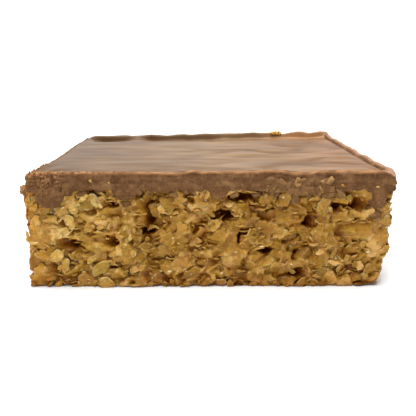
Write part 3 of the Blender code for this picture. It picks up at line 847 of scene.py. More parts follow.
def film_flake(rng):
    """A flake in the front wall that shows through a thin film of chocolate, most at its rim."""
    x, height = rng.uniform(*LUMP_SPAN), rng.uniform(*FILM_HEIGHTS)
    place = wall_place(front_distance(x), height, rng.uniform(0.1, 0.35) * MM)
    facing = direction_near(TOWARDS_FRONT, FILM_SPREAD, rng)
    points, looks, grain = crumb(COATED_KIND, place, rng.uniform(*FILM_LENGTHS) * MM, facing, rng)
    return points, looks_of(0.0, 0.0, rng.uniform(0.05, 1.0) * (0.65 + 0.75 * looks[:, 2])), grain


def make_coated_flakes(rng):
    """Flakes along the lower edge of the chocolate, and those that show through it."""
    flakes, spacing = [], COATED_KIND.spacing
    for distance in outline_distances(round(footprint_length() / spacing)):
        if rng.random() < COATED_SHARE:
            flakes.append(coated_flake(distance + rng.uniform(-0.5, 0.5) * spacing, rng))
    flakes += [film_flake(rng) for _ in range(FILM_FLAKES)]
    return join_flakes(COATED_KIND, flakes)


# The chocolate layer.

CHOCOLATE_COLUMNS, WALL_ROWS = 1000, 24
# Rings of the underside: the inset from the cut face, and how far down from the interface to the lower edge.
UNDER_RINGS = ((9.0 * MM, 0.0), (4.0 * MM, 0.25), (2.2 * MM, 0.55), (1.0 * MM, 0.9), (0.3 * MM, 1.0))
# Insets of the upper side's rings, in millimetres: close over the rim, then even steps to the middle.
TOP_INSETS = (0.06, 0.14, 0.24, 0.36, 0.5, 0.66, 0.84, 1.02, 1.2, 1.38, 1.56, 1.74, 1.9, 2.04, 2.2, 2.4)
TOP_INSETS += (2.65, 2.95, 3.3, 3.7, 4.2, 4.8, *(5.5 + 0.85 * step for step in range(34)))
LIP_INSET, LIP_HEIGHT = 0.3 * MM, 0.5 * MM
DRIP_PROUD, DRIP_SWELL, DRIP_SWELL_ABOVE = 0.4 * MM, 3.5 * MM, 1.5 * MM
RAGGED_EDGE, RAGGED_SPAN, RAGGED_DROP = 0.6 * MM, 1.3 * MM, 6 * MM
SIDE_EDGE_WAVE, SIDE_EDGE_SPAN, SIDE_EDGE_REACH_MM = 0.5 * MM, 5 * MM, 2.5

RIM_RISE, RIM_FALL = (-0.3 * MM, 0.4 * MM), (1.0 * MM, RIM_WIDTH)
EDGE_ROUNDING, EDGE_ROUNDING_WIDTH = 0.5 * MM, 0.4 * MM
EDGE_LUMPS, EDGE_LUMPS_SPAN, EDGE_LUMPS_REACH = 0.06 * MM, 0.8 * MM, 1.2 * MM
EDGE_WAVE, FRONT_EDGE_WAVE, EDGE_WAVE_SPAN, EDGE_WAVE_REACH = 0.26 * MM, 0.4 * MM, 6 * MM, 3 * MM
GROOVE_DEPTH, GROOVE_WIDTH, GROOVE_GAP = 0.5 * MM, 0.35 * MM, 0.15 * MM
BURR_HEIGHT, BURR_WIDTH, BURR_INSET, BURR_SPAN = 0.3 * MM, 0.18 * MM, 0.12 * MM, 2.2 * MM
BACK_BURR_FROM_TO, BACK_BURR_INSETS = (8 * MM, 34 * MM), (2.4 * MM, 4 * MM)
BROKEN_RELIEF, BROKEN_SPAN, BROKEN_REACH = 0.7 * MM, 1.1 * MM, 1.8 * MM
# Painted highlight on the right rim's crest, and painted light on the back rim towards the right.
RIM_PALENESS, BACK_RIM_PALENESS = 0.52, 0.5
CORNER_PALENESS, CORNER_RIM_PALENESS, CORNER_RIM_REACH = 0.27, 0.75, 1.5 * MM
FLAT_FROM_TO = (2.0 * MM, 6.0 * MM)
FRONT_CORNER, FRONT_CORNER_REACH, FRONT_CORNER_SAG = Vector((HALF_WIDTH, -HALF_DEPTH)), 2.5 * MM, 0.9 * MM
BACK_CORNER, BACK_CORNER_REACH, BACK_CORNER_SAG = Vector((-HALF_WIDTH, HALF_DEPTH)), 3 * MM, 0.9 * MM

# Noise stretched over the upper side: its spans along X and Y, and which slice of the noise it is.
SLOW_RIPPLE, FINE_RIPPLE = (19 * MM, 5.0 * MM, 3.1), (9 * MM, 2.6 * MM, 8.4)
CREASE_LINES, CREASE_PATCHES = (18 * MM, 11 * MM, 5.2), (24 * MM, 17 * MM, 1.7)
RIPPLE_HEIGHT, RIPPLE_FROM_TO = 0.3 * MM, (-30 * MM, 10 * MM)
# The creases: their depth, how dark their painted shade is, their width and where along X they come in.
CREASE_DEPTH, CREASE_SHADE, CREASE_WIDTH, CREASE_FROM_TO = 0.3 * MM, 0.5, 0.16, (-12 * MM, 4 * MM)

# The trough in front of the back rim: its depth at both ends of the rim, its slopes, and how dark its painted
# shade is.
TROUGH_ENDS, TROUGH_RUNOUT = (1.6 * MM, 0.4 * MM), (0.5 * MM, 6 * MM)
TROUGH_FALL, TROUGH_RISE = (0.8 * MM, 2.2 * MM), (2.4 * MM, 17 * MM)
TROUGH_UNEVENNESS, TROUGH_UNEVENNESS_SPAN, TROUGH_SLICE = 0.7, 7 * MM, 33.3
TROUGH_SHADES, TROUGH_SHADE_STEP, TROUGH_SHADE_FADE = (0.95, 0.62), (-16 * MM, -9 * MM), (-9 * MM, 40 * MM)
TROUGH_SHADE_INSETS, TROUGH_SHADE_FROM, TROUGH_SHADE_WIDTH = (0.5 * MM, 1.5 * MM), 2.0 * MM, 1.2 * MM
TROUGH_SHADE_RUNOUT = (0.0, 2.5 * MM)

# Relief of the cut wall: height and span of its smears along the wall and of its lumps.
WALL_SMEARS, WALL_SMEARS_SPAN, SMEAR_STRETCH = 0.12 * MM, 0.55 * MM, 9
WALL_LUMPS, WALL_LUMPS_SPAN = 0.25 * MM, 1.7 * MM
BROKEN_LUMPS_SPAN, BROKEN_GRAINS_SPAN, BROKEN_BULGE_SPAN = 0.8 * MM, 0.45 * MM, 3.1 * MM
# The burr at the top of the cut wall: how far down its painted highlight reaches, and how pale it is.
WALL_BURR_HEIGHT, WALL_PALENESS = 0.4 * MM, 0.35
CRUMBLY_PALENESS, CRUMBLY_SPAN, CRUMBLY_GAIN = 0.9, 0.6 * MM, 1.7
CORNER_PALE_HEIGHTS = (INTERFACE_HEIGHT - 0.5 * MM, INTERFACE_HEIGHT + 1.5 * MM)
# The round lobe under the broken corner and the hole beside it: where along the front, height and radius.
LOBE, LOBE_BULGE = (-37.7 * MM, 22.9 * MM, 3.0 * MM), 0.8 * MM
CORNER_HOLE, CORNER_HOLE_DEPTH = (-35.2 * MM, 24.9 * MM, 0.5 * MM), 1.6 * MM
# Oats that show through the chocolate's front as lumps, most of them in its right half.
COATED_LUMPS, LUMP_SPAN, LUMP_HEIGHTS = 40, (13.0 * MM, 29.0 * MM), (23.4 * MM, 26.9 * MM)
LUMP_HALF_LENGTHS, LUMP_BREADTH, LUMP_TILT = (0.7 * MM, 2.1 * MM), 0.55, 0.5
LUMP_PROUD, LUMP_PALENESS = (0.2 * MM, 0.85 * MM), 0.22


def rim_height(distance):
    """The rim's height above the flat, which differs from side to side and is uneven along each."""
    place, outward = footprint_point(distance)
    lowest, highest = RIM_BACK_ENDS
    back = lowest + (highest - lowest) * (place.x / BAR_WIDTH + 0.5)
    height = (
        RIM_RIGHT * max(outward.x, 0.0) ** 2
        + RIM_LEFT * max(-outward.x, 0.0) ** 2
        + back * max(outward.y, 0.0) ** 2
        + RIM_FRONT * max(-outward.y, 0.0) ** 2
    )
    return height * (1 + RIM_UNEVENNESS * noise_at(*place, 0.0, RIM_UNEVENNESS_SPAN))


def nearness(place, corner, reach):
    """1 at a corner, down to 0 at its reach."""
    return max(1 - (place - corner).length / reach, 0.0)


def crumbliness(distance):
    """How near the broken front left corner a place on the outline is, from 0 to 1."""
    return nearness(footprint_point(distance)[0], BROKEN_CORNER, BROKEN_CORNER_REACH)


def crumbly_share(near):
    """How crumbly the chocolate is, by how near the broken corner is: wholly so in the nearest part."""
    return min(CRUMBLY_GAIN * near, 1.0)


def stretched_noise(x, y, pattern):
    span_x, span_y, level = pattern
    return noise_at(x / span_x, y / span_y, level)


def ripple(x, y):
    """Long shallow ripples that the spreading left in the chocolate, mostly to the right of its middle."""
    strength = 0.45 + 0.55 * smooth_step(*RIPPLE_FROM_TO, x)
    waves = stretched_noise(x, y, SLOW_RIPPLE) + 0.4 * stretched_noise(x, y, FINE_RIPPLE)
    return RIPPLE_HEIGHT * strength * waves


def crease(x, y):
    """Thin wavy creases in the right half of the upper side, 1 at their middles."""
    line = ridge(stretched_noise(x, y, CREASE_LINES), CREASE_WIDTH)
    patch = smooth_step(-0.25, 0.1, stretched_noise(x, y, CREASE_PATCHES))
    return line * patch * smooth_step(*CREASE_FROM_TO, x)


def trough_unevenness(x):
    return 1 + TROUGH_UNEVENNESS * noise_at(x / TROUGH_UNEVENNESS_SPAN, 0.0, TROUGH_SLICE)


def trough_depth(x, y):
    """How deep the hollow in front of the back rim is: deepest at the left, running out at both ends."""
    left, right = TROUGH_ENDS
    inset = HALF_DEPTH - y
    across = smooth_step(*TROUGH_FALL, inset) * (1 - smooth_step(*TROUGH_RISE, inset))
    runout = smooth_step(*TROUGH_RUNOUT, HALF_WIDTH - abs(x))
    return (left + (right - left) * (x / BAR_WIDTH + 0.5)) * across * runout * trough_unevenness(x)


def trough_shade(x, y):
    """How dark the painted shade on the inner slope and the foot of the back rim is, most at the left."""
    inset = HALF_DEPTH - y
    left, middle = TROUGH_SHADES
    strength = left + (middle - left) * smooth_step(*TROUGH_SHADE_STEP, x)
    strength *= 1 - smooth_step(*TROUGH_SHADE_FADE, x)
    strength *= smooth_step(*TROUGH_SHADE_RUNOUT, HALF_WIDTH - abs(x))
    strength *= trough_unevenness(x)
    shade = min(strength, 1.0) * smooth_step(*TROUGH_SHADE_INSETS, inset)
    return shade * fading(max(inset - TROUGH_SHADE_FROM, 0.0), TROUGH_SHADE_WIDTH)


def top_height(distance, inset, x, y):
    """The height of the chocolate's upper side at an inset from its wall, and its pale share: painted
    highlight along the burr and rims, and the broken corner's pale rim.
    """
    place, outward = footprint_point(distance)
    right, back, front = max(outward.x, 0.0), max(outward.y, 0.0), max(-outward.y, 0.0)
    rim_share = smooth_step(*RIM_RISE, inset) * (1 - smooth_step(*RIM_FALL, inset))
    back_right = back * smooth_step(*BACK_BURR_FROM_TO, x)
    broken = nearness(Vector((x, y)), BROKEN_CORNER, BROKEN_CORNER_REACH)

    # The burr's pale line is painted highlight along the cut edge.
    burr = ridge(inset - BURR_INSET, BURR_WIDTH) * (0.5 + 0.5 * front)
    burr *= 0.7 + 0.7 * noise_at(x, y, 4.0 * MM, BURR_SPAN)
    # Painted highlight on the right rim's crest and painted light on the back rim's right part.
    burr = max(burr, RIM_PALENESS * rim_share * right)
    burr = max(burr, BACK_RIM_PALENESS * back_right * (1 - smooth_step(*BACK_BURR_INSETS, inset)))

    rounding = EDGE_ROUNDING * (1 - min(inset / EDGE_ROUNDING_WIDTH, 1.0)) ** 2
    groove = GROOVE_DEPTH * ridge(inset - RIM_WIDTH - GROOVE_GAP, GROOVE_WIDTH)
    lumps = noise_at(x, y, 0.0, EDGE_LUMPS_SPAN) * fading(inset, EDGE_LUMPS_REACH)
    rough = broken * fading(inset, BROKEN_REACH) * noise_at(x, y, 9 * MM, BROKEN_SPAN)
    height = BAR_HEIGHT + rim_share * rim_height(distance) - rounding - groove * right + EDGE_LUMPS * lumps
    height += BURR_HEIGHT * burr * (1 - right) * (1 - back_right) + BROKEN_RELIEF * rough
    waves = noise_at(x, y, 0.0, EDGE_WAVE_SPAN) + 0.35 * noise_at(x, y, 9.0, 0.3 * EDGE_WAVE_SPAN)
    height += (EDGE_WAVE + FRONT_EDGE_WAVE * front) * waves * fading(inset, EDGE_WAVE_REACH)
    inside = smooth_step(*FLAT_FROM_TO, inset)
    height += ripple(x, y) * inside - trough_depth(x, y) - CREASE_DEPTH * crease(x, y) * inside

    near_edge = 1 - smooth_step(RIM_WIDTH, 3 * RIM_WIDTH, inset)
    height -= BROKEN_CORNER_SAG * crumbliness(distance) * near_edge
    height -= BACK_CORNER_SAG * near_edge * nearness(place, BACK_CORNER, BACK_CORNER_REACH) ** 1.5
    height -= FRONT_CORNER_SAG * near_edge * nearness(place, FRONT_CORNER, FRONT_CORNER_REACH)
    return height, max(burr, CORNER_RIM_PALENESS * crumbly_share(broken) * fading(inset, CORNER_RIM_REACH))


def make_coated_lumps(rng):
    """Rows of where along the front, height, half length, tilt and how proud."""
    lumps = []
    for number in range(COATED_LUMPS):
        low, high = LUMP_SPAN if number % 4 else (-HALF_WIDTH, HALF_WIDTH)
        form = (rng.uniform(low, high), rng.uniform(*LUMP_HEIGHTS), rng.uniform(*LUMP_HALF_LENGTHS))
        lumps.append((*form, rng.gauss(0, LUMP_TILT), rng.uniform(*LUMP_PROUD)))
    return lumps


COATED_LUMPS_AT = make_coated_lumps(solids_rng)


def coated_lump(x, height):
    """How far the coated oats push the wall out here, and how pale they make it."""
    proud = pale = 0.0
    for centre, level, half_length, tilt, size in COATED_LUMPS_AT:
        across, upward = x - centre, height - level
        if abs(across) < half_length and abs(upward) < half_length:
            u = (across * math.cos(tilt) + upward * math.sin(tilt)) / half_length
            v = (upward * math.cos(tilt) - across * math.sin(tilt)) / (LUMP_BREADTH * half_length)
            share = 1 - min(math.hypot(u, v), 1.0) ** 3
            proud = max(proud, size * (share + 0.3 * v * (share > 0)))
            pale = max(pale, LUMP_PALENESS * share)
    return proud, pale


def wall_relief(distance, height):
    """The cut wall's small unevenness: smears along it, lumps, and crumbs at the broken corner."""
    place, _ = footprint_point(distance)
    x, y = place
    smear = noise_at(x / SMEAR_STRETCH, y / SMEAR_STRETCH, height, WALL_SMEARS_SPAN)
    lumps = noise_at(x, y, height, WALL_LUMPS_SPAN)
    broken = noise_at(x, y, height, BROKEN_LUMPS_SPAN) + 0.5 * lumps
    bulge = noise_at(x, y, height, BROKEN_BULGE_SPAN) + 0.25
    grains = noise_at(x, y, height, BROKEN_GRAINS_SPAN)
    corner = (0.45 * broken + 0.25 * grains + 0.8 * bulge) * MM * crumbly_share(crumbliness(distance))
    relief = WALL_SMEARS * smear + WALL_LUMPS * lumps + corner
    if y < FRONT_FACE_TO:
        lobe_x, level, radius = LOBE
        relief += LOBE_BULGE * max(1 - (math.hypot(x - lobe_x, height - level) / radius) ** 2, 0.0)
        relief += coated_lump(x, height)[0]
        hole_x, level, radius = CORNER_HOLE
        relief -= CORNER_HOLE_DEPTH * ridge(math.hypot(x - hole_x, height - level), radius)
    return relief


def side_wave(distance):
    """How far the chocolate's edge wanders out and in along its left, right and back sides."""
    place, outward = footprint_point(distance)
    return SIDE_EDGE_WAVE * noise_at(*place, 0.0, SIDE_EDGE_SPAN) * min(1 + outward.y, 1.0)


def upper_share(distance, inset):
    """0 on the cut wall and 1 on the upper side: the inner slope of the right rim counts as wall."""
    _, outward = footprint_point(distance)
    right, back = max(outward.x, 0.0), max(outward.y, 0.0)
    low = 2.0 * right * MM
    return smooth_step(low, low + (2.0 - right - 1.6 * back) * MM, inset)


def lower_edge(distance):
    """The height of the chocolate's lower edge, ragged where it grips the oats."""
    place, _ = footprint_point(distance)
    ragged = noise_at(*place, 0.0, RAGGED_SPAN) + 0.5 * noise_at(*place, 0.0, 0.4 * RAGGED_SPAN)
    drop = drip_drop(distance)
    return INTERFACE_HEIGHT - drop - RAGGED_EDGE * ragged / (1 + drop / RAGGED_DROP)


def wall_point(distance, edge, top, share):
    """A point of the cut wall, from its lower edge at share 0 to its top at 1, and its looks."""
    height = edge + (top - edge) * share
    lip = LIP_INSET * (1 - smooth_step(0.0, LIP_HEIGHT, height - edge))
    proud = DRIP_PROUD * smooth_step(0.0, DRIP_SWELL, INTERFACE_HEIGHT + DRIP_SWELL_ABOVE - height)
    inset = lip - proud - wall_relief(distance, height) * smooth_step(0.0, 0.1, 1 - share)
    x, y, height = face_point(distance, height, inset - side_wave(distance))
    near = crumbliness(distance)
    # Painted highlight along the burr at the top of the wall.
    pale = WALL_PALENESS * smooth_step(top - WALL_BURR_HEIGHT, top, height)
    pale += CRUMBLY_PALENESS * near * noise_at(x, y, height, CRUMBLY_SPAN)
    pale += CORNER_PALENESS * crumbly_share(near) * smooth_step(*CORNER_PALE_HEIGHTS, height)
    film = coated_lump(x, height)[1] if y < FRONT_FACE_TO else 0.0
    return (x, y, height), (max(pale, 0.0), 0.0, film)


def top_point(distance, inset_mm):
    """A point of the upper side and its looks."""
    inset, wave = inset_mm * MM, side_wave(distance) * fading(inset_mm, SIDE_EDGE_REACH_MM)
    x, y, _ = face_point(distance, BAR_HEIGHT, inset - wave)
    height, burr = top_height(distance, inset, x, y)
    # Painted shade in the creases and on the back rim's inner slope.
    shade = max(CREASE_SHADE * crease(x, y), trough_shade(x, y))
    return (x, y, height), (burr, upper_share(distance, inset), shade)


def make_chocolate():
    """The layer from its underside out to the drips, up the cut wall, over the rim and in to the middle."""
    distances = outline_distances(CHOCOLATE_COLUMNS)
    edges = [lower_edge(distance) for distance in distances]
    tops = [top_height(d, 0.0, *face_point(d, BAR_HEIGHT, 0.0)[:2])[0] for d in distances]
    made = []
    for inset, share in UNDER_RINGS:
        heights = [INTERFACE_HEIGHT - share * (INTERFACE_HEIGHT - edge) for edge in edges]
        made += [(face_point(d, height, inset), (0.0, 0.0, 0.0)) for d, height in zip(distances, heights)]
    for row in range(WALL_ROWS):
        made += [wall_point(*column, row / (WALL_ROWS - 1)) for column in zip(distances, edges, tops)]
    for inset_mm in TOP_INSETS:
        made += [top_point(distance, inset_mm) for distance in distances]
    rows = len(made) // CHOCOLATE_COLUMNS
    middle_height = float(np.mean([point[2] for point, _ in made[-CHOCOLATE_COLUMNS:]]))
    middle_shade = float(np.mean([look[2] for _, look in made[-CHOCOLATE_COLUMNS:]]))
    made.append(((0.0, 0.0, INTERFACE_HEIGHT), (0.0, 0.0, 0.0)))
    made.append(((0.0, 0.0, middle_height), (0.0, 1.0, middle_shade)))
    points, looks = zip(*made)
    return mesh_object("chocolate_layer", points, shell_triangles(rows, CHOCOLATE_COLUMNS), np.array(looks))


# Materials.


class Nodes:
    """A short way to add nodes to a tree, fill them and join them."""

    def __init__(self, tree):
        self.tree = tree

    def put(self, socket, value):
        """Joins an output to a socket, or sets it to a number, colour or vector."""
        if isinstance(value, bpy.types.NodeSocket):
            self.tree.links.new(value, socket)
        else:
            socket.default_value = (*value, 1.0) if socket.type == "RGBA" else value

    def fill(self, node, **values):
        """Fills inputs by their names, written small and with _ for a space."""
        for name, value in values.items():
            self.put(node.inputs[name.replace("_", " ").title().replace("Ior", "IOR")], value)
        return node

    def node(self, kind, **values):
        return self.fill(self.tree.nodes.new("ShaderNode" + kind), **values)

    def spread(self, value, low, high, new_low=0.0, new_high=1.0):
        """A value taken from one range to another, and kept within it."""
        made = self.node("MapRange", value=value, from_min=low, from_max=high)
        return self.fill(made, to_min=new_low, to_max=new_high).outputs["Result"]

    def ramp(self, value, stops):
        """A colour for a value, from stops of a position and a colour."""
        made = self.node("ValToRGB", fac=value)
        elements = made.color_ramp.elements
        for position, colour in stops[1:-1]:
            elements.new(position).color = (*colour, 1.0)
        for number in (0, -1):
            position, colour = stops[number]
            elements[number].position, elements[number].color = position, (*colour, 1.0)
        return made.outputs["Color"]

    def mix(self, share, first, second, blend="MIX"):
        made = self.node("Mix")
        made.data_type, made.blend_type = "RGBA", blend
        for number, value in ((0, share), (6, first), (7, second)):
            self.put(made.inputs[number], value)
        return made.outputs[2]


class Look(Nodes):
    """A material being made, with what its points carry: three shares, their place and its x, y and z."""

    def __init__(self, name):
        self.material = bpy.data.materials.new(name)
        self.material.use_nodes = True
        super().__init__(self.material.node_tree)
        colours = self.node("VertexColor")
        colours.layer_name = "looks"
        self.shares = self.node("SeparateColor", color=colours.outputs["Color"]).outputs
        self.place = self.node("NewGeometry").outputs["Position"]
        self.axes = self.node("SeparateXYZ", vector=self.place).outputs

    def mapped(self, vector, scale):
        """A place stretched along its axes."""
        return self.node("Mapping", vector=vector, scale=scale).outputs["Vector"]

    def noise(self, vector, scale, detail=3.0, roughness=0.55):
        made = self.node("TexNoise", vector=vector, scale=scale, detail=detail, roughness=roughness)
        return made.outputs["Fac"]

    def maths(self, operation, first, *others):
        """The sum, difference or product of values."""
        for other in others:
            made = self.node("Math")
            made.operation = operation
            self.put(made.inputs[0], first)
            self.put(made.inputs[1], other)
            first = made.outputs["Value"]
        return first

    def tint(self, colour, *others):
        """A colour multiplied by others."""
        for other in others:
            colour = self.mix(1.0, colour, other, "MULTIPLY")
        return colour

    def bump(self, height, depth, strength, **under):
        return self.node("Bump", height=height, distance=depth, strength=strength, **under).outputs["Normal"]

    def finish(self, **values):
        """The material, with its shader filled."""
        self.fill(self.tree.nodes["Principled BSDF"], **values)
        return self.material


WHITE = (1.0, 1.0, 1.0)
OAT_TONES = (
    (0.0, (0.240, 0.112, 0.008)),
    (0.3, (0.355, 0.182, 0.018)),
    (0.6, (0.475, 0.262, 0.040)),
    (0.85, (0.600, 0.355, 0.085)),
    (1.0, (0.750, 0.480, 0.180)),
)
# Pale flake edges: partly their own colour, partly painted light on the outermost rims.
PALE_EDGE = (0.90, 0.66, 0.34)
AMBER = (0.52, 0.205, 0.006)
# The colour of painted glints: small white highlights on the oats.
PAINTED_GLINT = (0.95, 0.86, 0.68)
# Painted shade: darker where deep in recesses and hollows, by the depth share.
DEPTH_SHADES = ((0.08, WHITE), (0.32, (0.66, 0.44, 0.18)), (0.7, (0.26, 0.09, 0.012)))
CARAMEL = (0.88, 0.72, 0.55)
# From the left end to past the left third: honey on the end, painted light over the left third, then richer
# oats.
SIDEWAYS_FROM_TO = (-45 * MM, -10 * MM)
SIDEWAYS_TINT_AND_LIGHT = (
    (0.0, (0.97, 0.83, 0.60)),
    (0.25, (0.94, 0.965, 0.92)),
    (0.35, (0.94, 0.965, 0.90)),
    (1.0, (0.83, 0.78, 0.64)),
)
OAT_GLOSS = (1.0, 0.84, 0.55)
SUBSURFACE_RADIUS = (1.0, 0.5, 0.15)


def low_tint(look):
    """Darker caramelised brown in the lowest millimetres, where the slice lay on the tin."""
    wander = look.spread(look.noise(look.place, 160.0, 2.0), 0.3, 0.7, -1.2 * MM, 1.2 * MM)
    height = look.maths("ADD", look.axes[2], wander)
    return look.ramp(look.spread(height, 0.0, 4.0 * MM), ((0.0, CARAMEL), (1.0, WHITE)))


def oat_look(name, specular):
    """Honey-glazed oats: fibres along each flake, pale edges partly painted light, amber syrup in patches,
    painted glints, painted light on the left and painted shade where deep.
    """
    look = Look(name)
    tone, depth, rim = look.shares
    attribute = look.node("Attribute")
    attribute.attribute_name = "grain"
    fibres = look.noise(look.mapped(attribute.outputs["Vector"], (0.5, 3.2, 1.0)), 1.0, 4.0, 0.65)
    patches = look.noise(look.place, 230.0)
    fine = look.noise(look.place, 1500.0)
    mottle = look.noise(look.place, 700.0, 2.0)
    broad = look.noise(look.place, 95.0, 2.0)

    varied = look.maths(
        "ADD",
        tone,
        look.spread(fibres, 0.3, 0.7, -0.2, 0.2),
        look.spread(mottle, 0.3, 0.7, -0.18, 0.18),
        look.spread(broad, 0.35, 0.65, -0.12, 0.15),
        look.spread(fine, 0.3, 0.7, -0.06, 0.06),
    )
    # Pale rims where flakes stand outermost: partly their own colour, partly painted light.
    edge = look.maths(
        "MULTIPLY",
        look.spread(rim, 0.74, 1.0, 0.0, 0.6),
        look.spread(depth, 0.0, 0.35, 1.0, 0.0),
        look.spread(mottle, 0.38, 0.6),
    )
    colour = look.mix(edge, look.ramp(varied, OAT_TONES), PALE_EDGE)
    colour = look.mix(look.spread(patches, 0.5, 0.72, 0.0, 0.5), colour, AMBER)
    # Painted glints: a few small white highlights where fine noise peaks.
    colour = look.mix(look.spread(look.noise(look.place, 1300.0, 0.0), 0.8, 0.83), colour, PAINTED_GLINT)
    # Painted light over the left third, with a honey tint at the left end.
    sideways_tint_and_light = look.ramp(look.spread(look.axes[0], *SIDEWAYS_FROM_TO), SIDEWAYS_TINT_AND_LIGHT)
    return look.finish(
        # Painted shade where deep, by the depth share.
        base_color=look.tint(colour, look.ramp(depth, DEPTH_SHADES), low_tint(look), sideways_tint_and_light),
        roughness=look.spread(patches, 0.35, 0.65, 0.55, 0.35),
        specular_ior_level=specular,
        specular_tint=OAT_GLOSS,
        normal=look.bump(fine, 0.1 * MM, 0.35, normal=look.bump(fibres, 0.25 * MM, 0.6)),
        subsurface_weight=0.4,
        subsurface_radius=SUBSURFACE_RADIUS,
        subsurface_scale=0.9 * MM,
        coat_weight=look.spread(patches, 0.4, 0.6, 0.0, 0.4),
        coat_roughness=0.12,
    )


CHOCOLATE = (0.127, 0.053, 0.016)
CHOCOLATE_DARK = (0.066, 0.022, 0.005)
CHOCOLATE_LIGHT = (0.245, 0.122, 0.050)
CHOCOLATE_TONES = ((0.05, CHOCOLATE_DARK), (0.5, CHOCOLATE), (1.0, CHOCOLATE_LIGHT))
CHOCOLATE_TOP = (0.248, 0.134, 0.057)
CHOCOLATE_TOP_DARK = (0.152, 0.074, 0.028)
# Colours of painted highlight: along the burr, and on the right rim.
BURR_HIGHLIGHT_COLOUR = (0.42, 0.200, 0.080)
RIM_HIGHLIGHT_COLOUR, RIM_COLOUR_FROM_TO = (0.47, 0.270, 0.165), (41 * MM, 43 * MM)
# The colour of the painted shade in the creases and before the back rim.
CREASE_SHADE_COLOUR = (0.090, 0.042, 0.016)
FILM_COLOUR = (0.34, 0.190, 0.068)
# The upper side from left to right: duller at the left, redder at the right.
TOP_TINTS = (
    (0.0, (0.65, 0.66, 0.63)),
    (0.25, (0.76, 0.76, 0.71)),
    (0.5, (1.10, 1.22, 1.28)),
    (0.72, (1.08, 1.09, 1.06)),
    (0.92, (1.04, 0.93, 0.84)),
)
# The oats' light on the chocolate just above them.
OATS_GLOW, OATS_GLOW_HEIGHTS = ((0.0, (1.2, 1.22, 1.15)), (1.0, WHITE)), (23.5 * MM, 26.5 * MM)
CHOCOLATE_GLOSS = (1.0, 0.9, 0.72)


def wall_colour(look, varied, fine, film, on_wall):
    """The cut chocolate: mottled and specked, with painted shade in its small pits, lit by the oats below,
    pale where they show through.
    """
    colour = look.ramp(varied, CHOCOLATE_TONES)
    colour = look.tint(colour, look.ramp(look.spread(look.axes[2], *OATS_GLOW_HEIGHTS), OATS_GLOW))
    colour = look.mix(film, colour, FILM_COLOUR)
    specks = look.maths("MULTIPLY", look.spread(fine, 0.58, 0.72, 0.0, 0.7), on_wall)
    colour = look.mix(specks, colour, CHOCOLATE_LIGHT)
    # Painted shade in the small pits of the cut wall.
    pit_shade = look.maths("MULTIPLY", look.spread(fine, 0.42, 0.28, 0.0, 0.8), on_wall)
    return look.mix(pit_shade, colour, CHOCOLATE_DARK)


def top_colour(look, creases):
    """The upper side: broad clouds and long streaks, tinted from left to right, and darkened by painted shade
    in its creases and before the back rim.
    """
    broad = look.noise(look.mapped(look.place, (45.0, 80.0, 1.0)), 1.0)
    colour = look.ramp(broad, ((0.35, CHOCOLATE_TOP_DARK), (0.62, CHOCOLATE_TOP)))
    streaks = look.noise(look.mapped(look.place, (26.0, 170.0, 1.0)), 1.0, 4.0, 0.6)
    colour = look.mix(look.spread(streaks, 0.5, 0.7, 0.0, 0.75), colour, CHOCOLATE_TOP_DARK)
    colour = look.tint(colour, look.ramp(look.spread(look.axes[0], -HALF_WIDTH, HALF_WIDTH), TOP_TINTS))
    return look.mix(creases, colour, CREASE_SHADE_COLOUR)


def chocolate_look():
    """Milk chocolate: matt and smeared by the knife where cut, satin on top, lighter with painted highlight
    along the burr and rims.
    """
    look = Look("milk_chocolate")
    # The shares: paleness, mostly painted highlight on the burr and rims; the upper side; painted shade on
    # top, film where oats show through on the wall.
    burr, upper, other = look.shares
    on_wall = look.maths("SUBTRACT", 1.0, upper)
    cloudy = look.noise(look.place, 140.0)
    smears = look.noise(look.mapped(look.place, (90.0, 90.0, 1100.0)), 1.0)
    clouds = look.noise(look.place, 330.0)
    lumps = look.noise(look.place, 700.0, 2.0)
    fine = look.noise(look.place, 1900.0)

    varied = look.maths(
        "ADD",
        look.spread(cloudy, 0.3, 0.7, 0.35, 0.65),
        look.spread(smears, 0.3, 0.7, -0.15, 0.15),
        look.spread(clouds, 0.3, 0.7, -0.17, 0.17),
        look.spread(lumps, 0.3, 0.7, -0.2, 0.2),
    )
    colour = look.mix(upper, wall_colour(look, varied, fine, other, on_wall), top_colour(look, other))
    # Painted highlight along the burr and the rims, redder on the right rim.
    pale = look.mix(look.spread(look.axes[0], *RIM_COLOUR_FROM_TO), BURR_HIGHLIGHT_COLOUR, RIM_HIGHLIGHT_COLOUR)
    colour = look.mix(look.spread(burr, 0.1, 0.8), colour, pale)

    normal = look.bump(cloudy, 0.15 * MM, 0.3)
    for height, depth, strength in ((lumps, 0.5 * MM, 0.8), (smears, 0.25 * MM, 0.6), (fine, 0.12 * MM, 0.5)):
        normal = look.bump(look.maths("MULTIPLY", height, on_wall), depth, strength, normal=normal)
    coat, bare = look.spread(upper, 0.0, 1.0, 0.0, 0.22), look.spread(other, 0.0, 1.0, 1.0, 0.0)
    return look.finish(
        base_color=colour,
        roughness=look.spread(upper, 0.0, 1.0, 0.65, 0.42),
        specular_ior_level=look.spread(other, 0.0, 1.0, 0.3, 0.05),
        specular_tint=CHOCOLATE_GLOSS,
        normal=normal,
        subsurface_weight=0.08,
        subsurface_radius=SUBSURFACE_RADIUS,
        subsurface_scale=0.6 * MM,
        coat_weight=look.maths("MULTIPLY", coat, bare),
        coat_roughness=0.28,
    )


# Floor, light and camera.

FLOOR_SIZE, FLOOR_TONE = 8.0, (0.74, 0.74, 0.74)
CAMERA_PLACE = (-1.7 * MM, -166.7 * MM, 53.9 * MM)
CAMERA_PITCH, CAMERA_YAW = math.radians(14.34), math.radians(0.61)
FOCAL_PIXELS, FRAME_PIXELS, SENSOR = 561.2, 416, 36.0
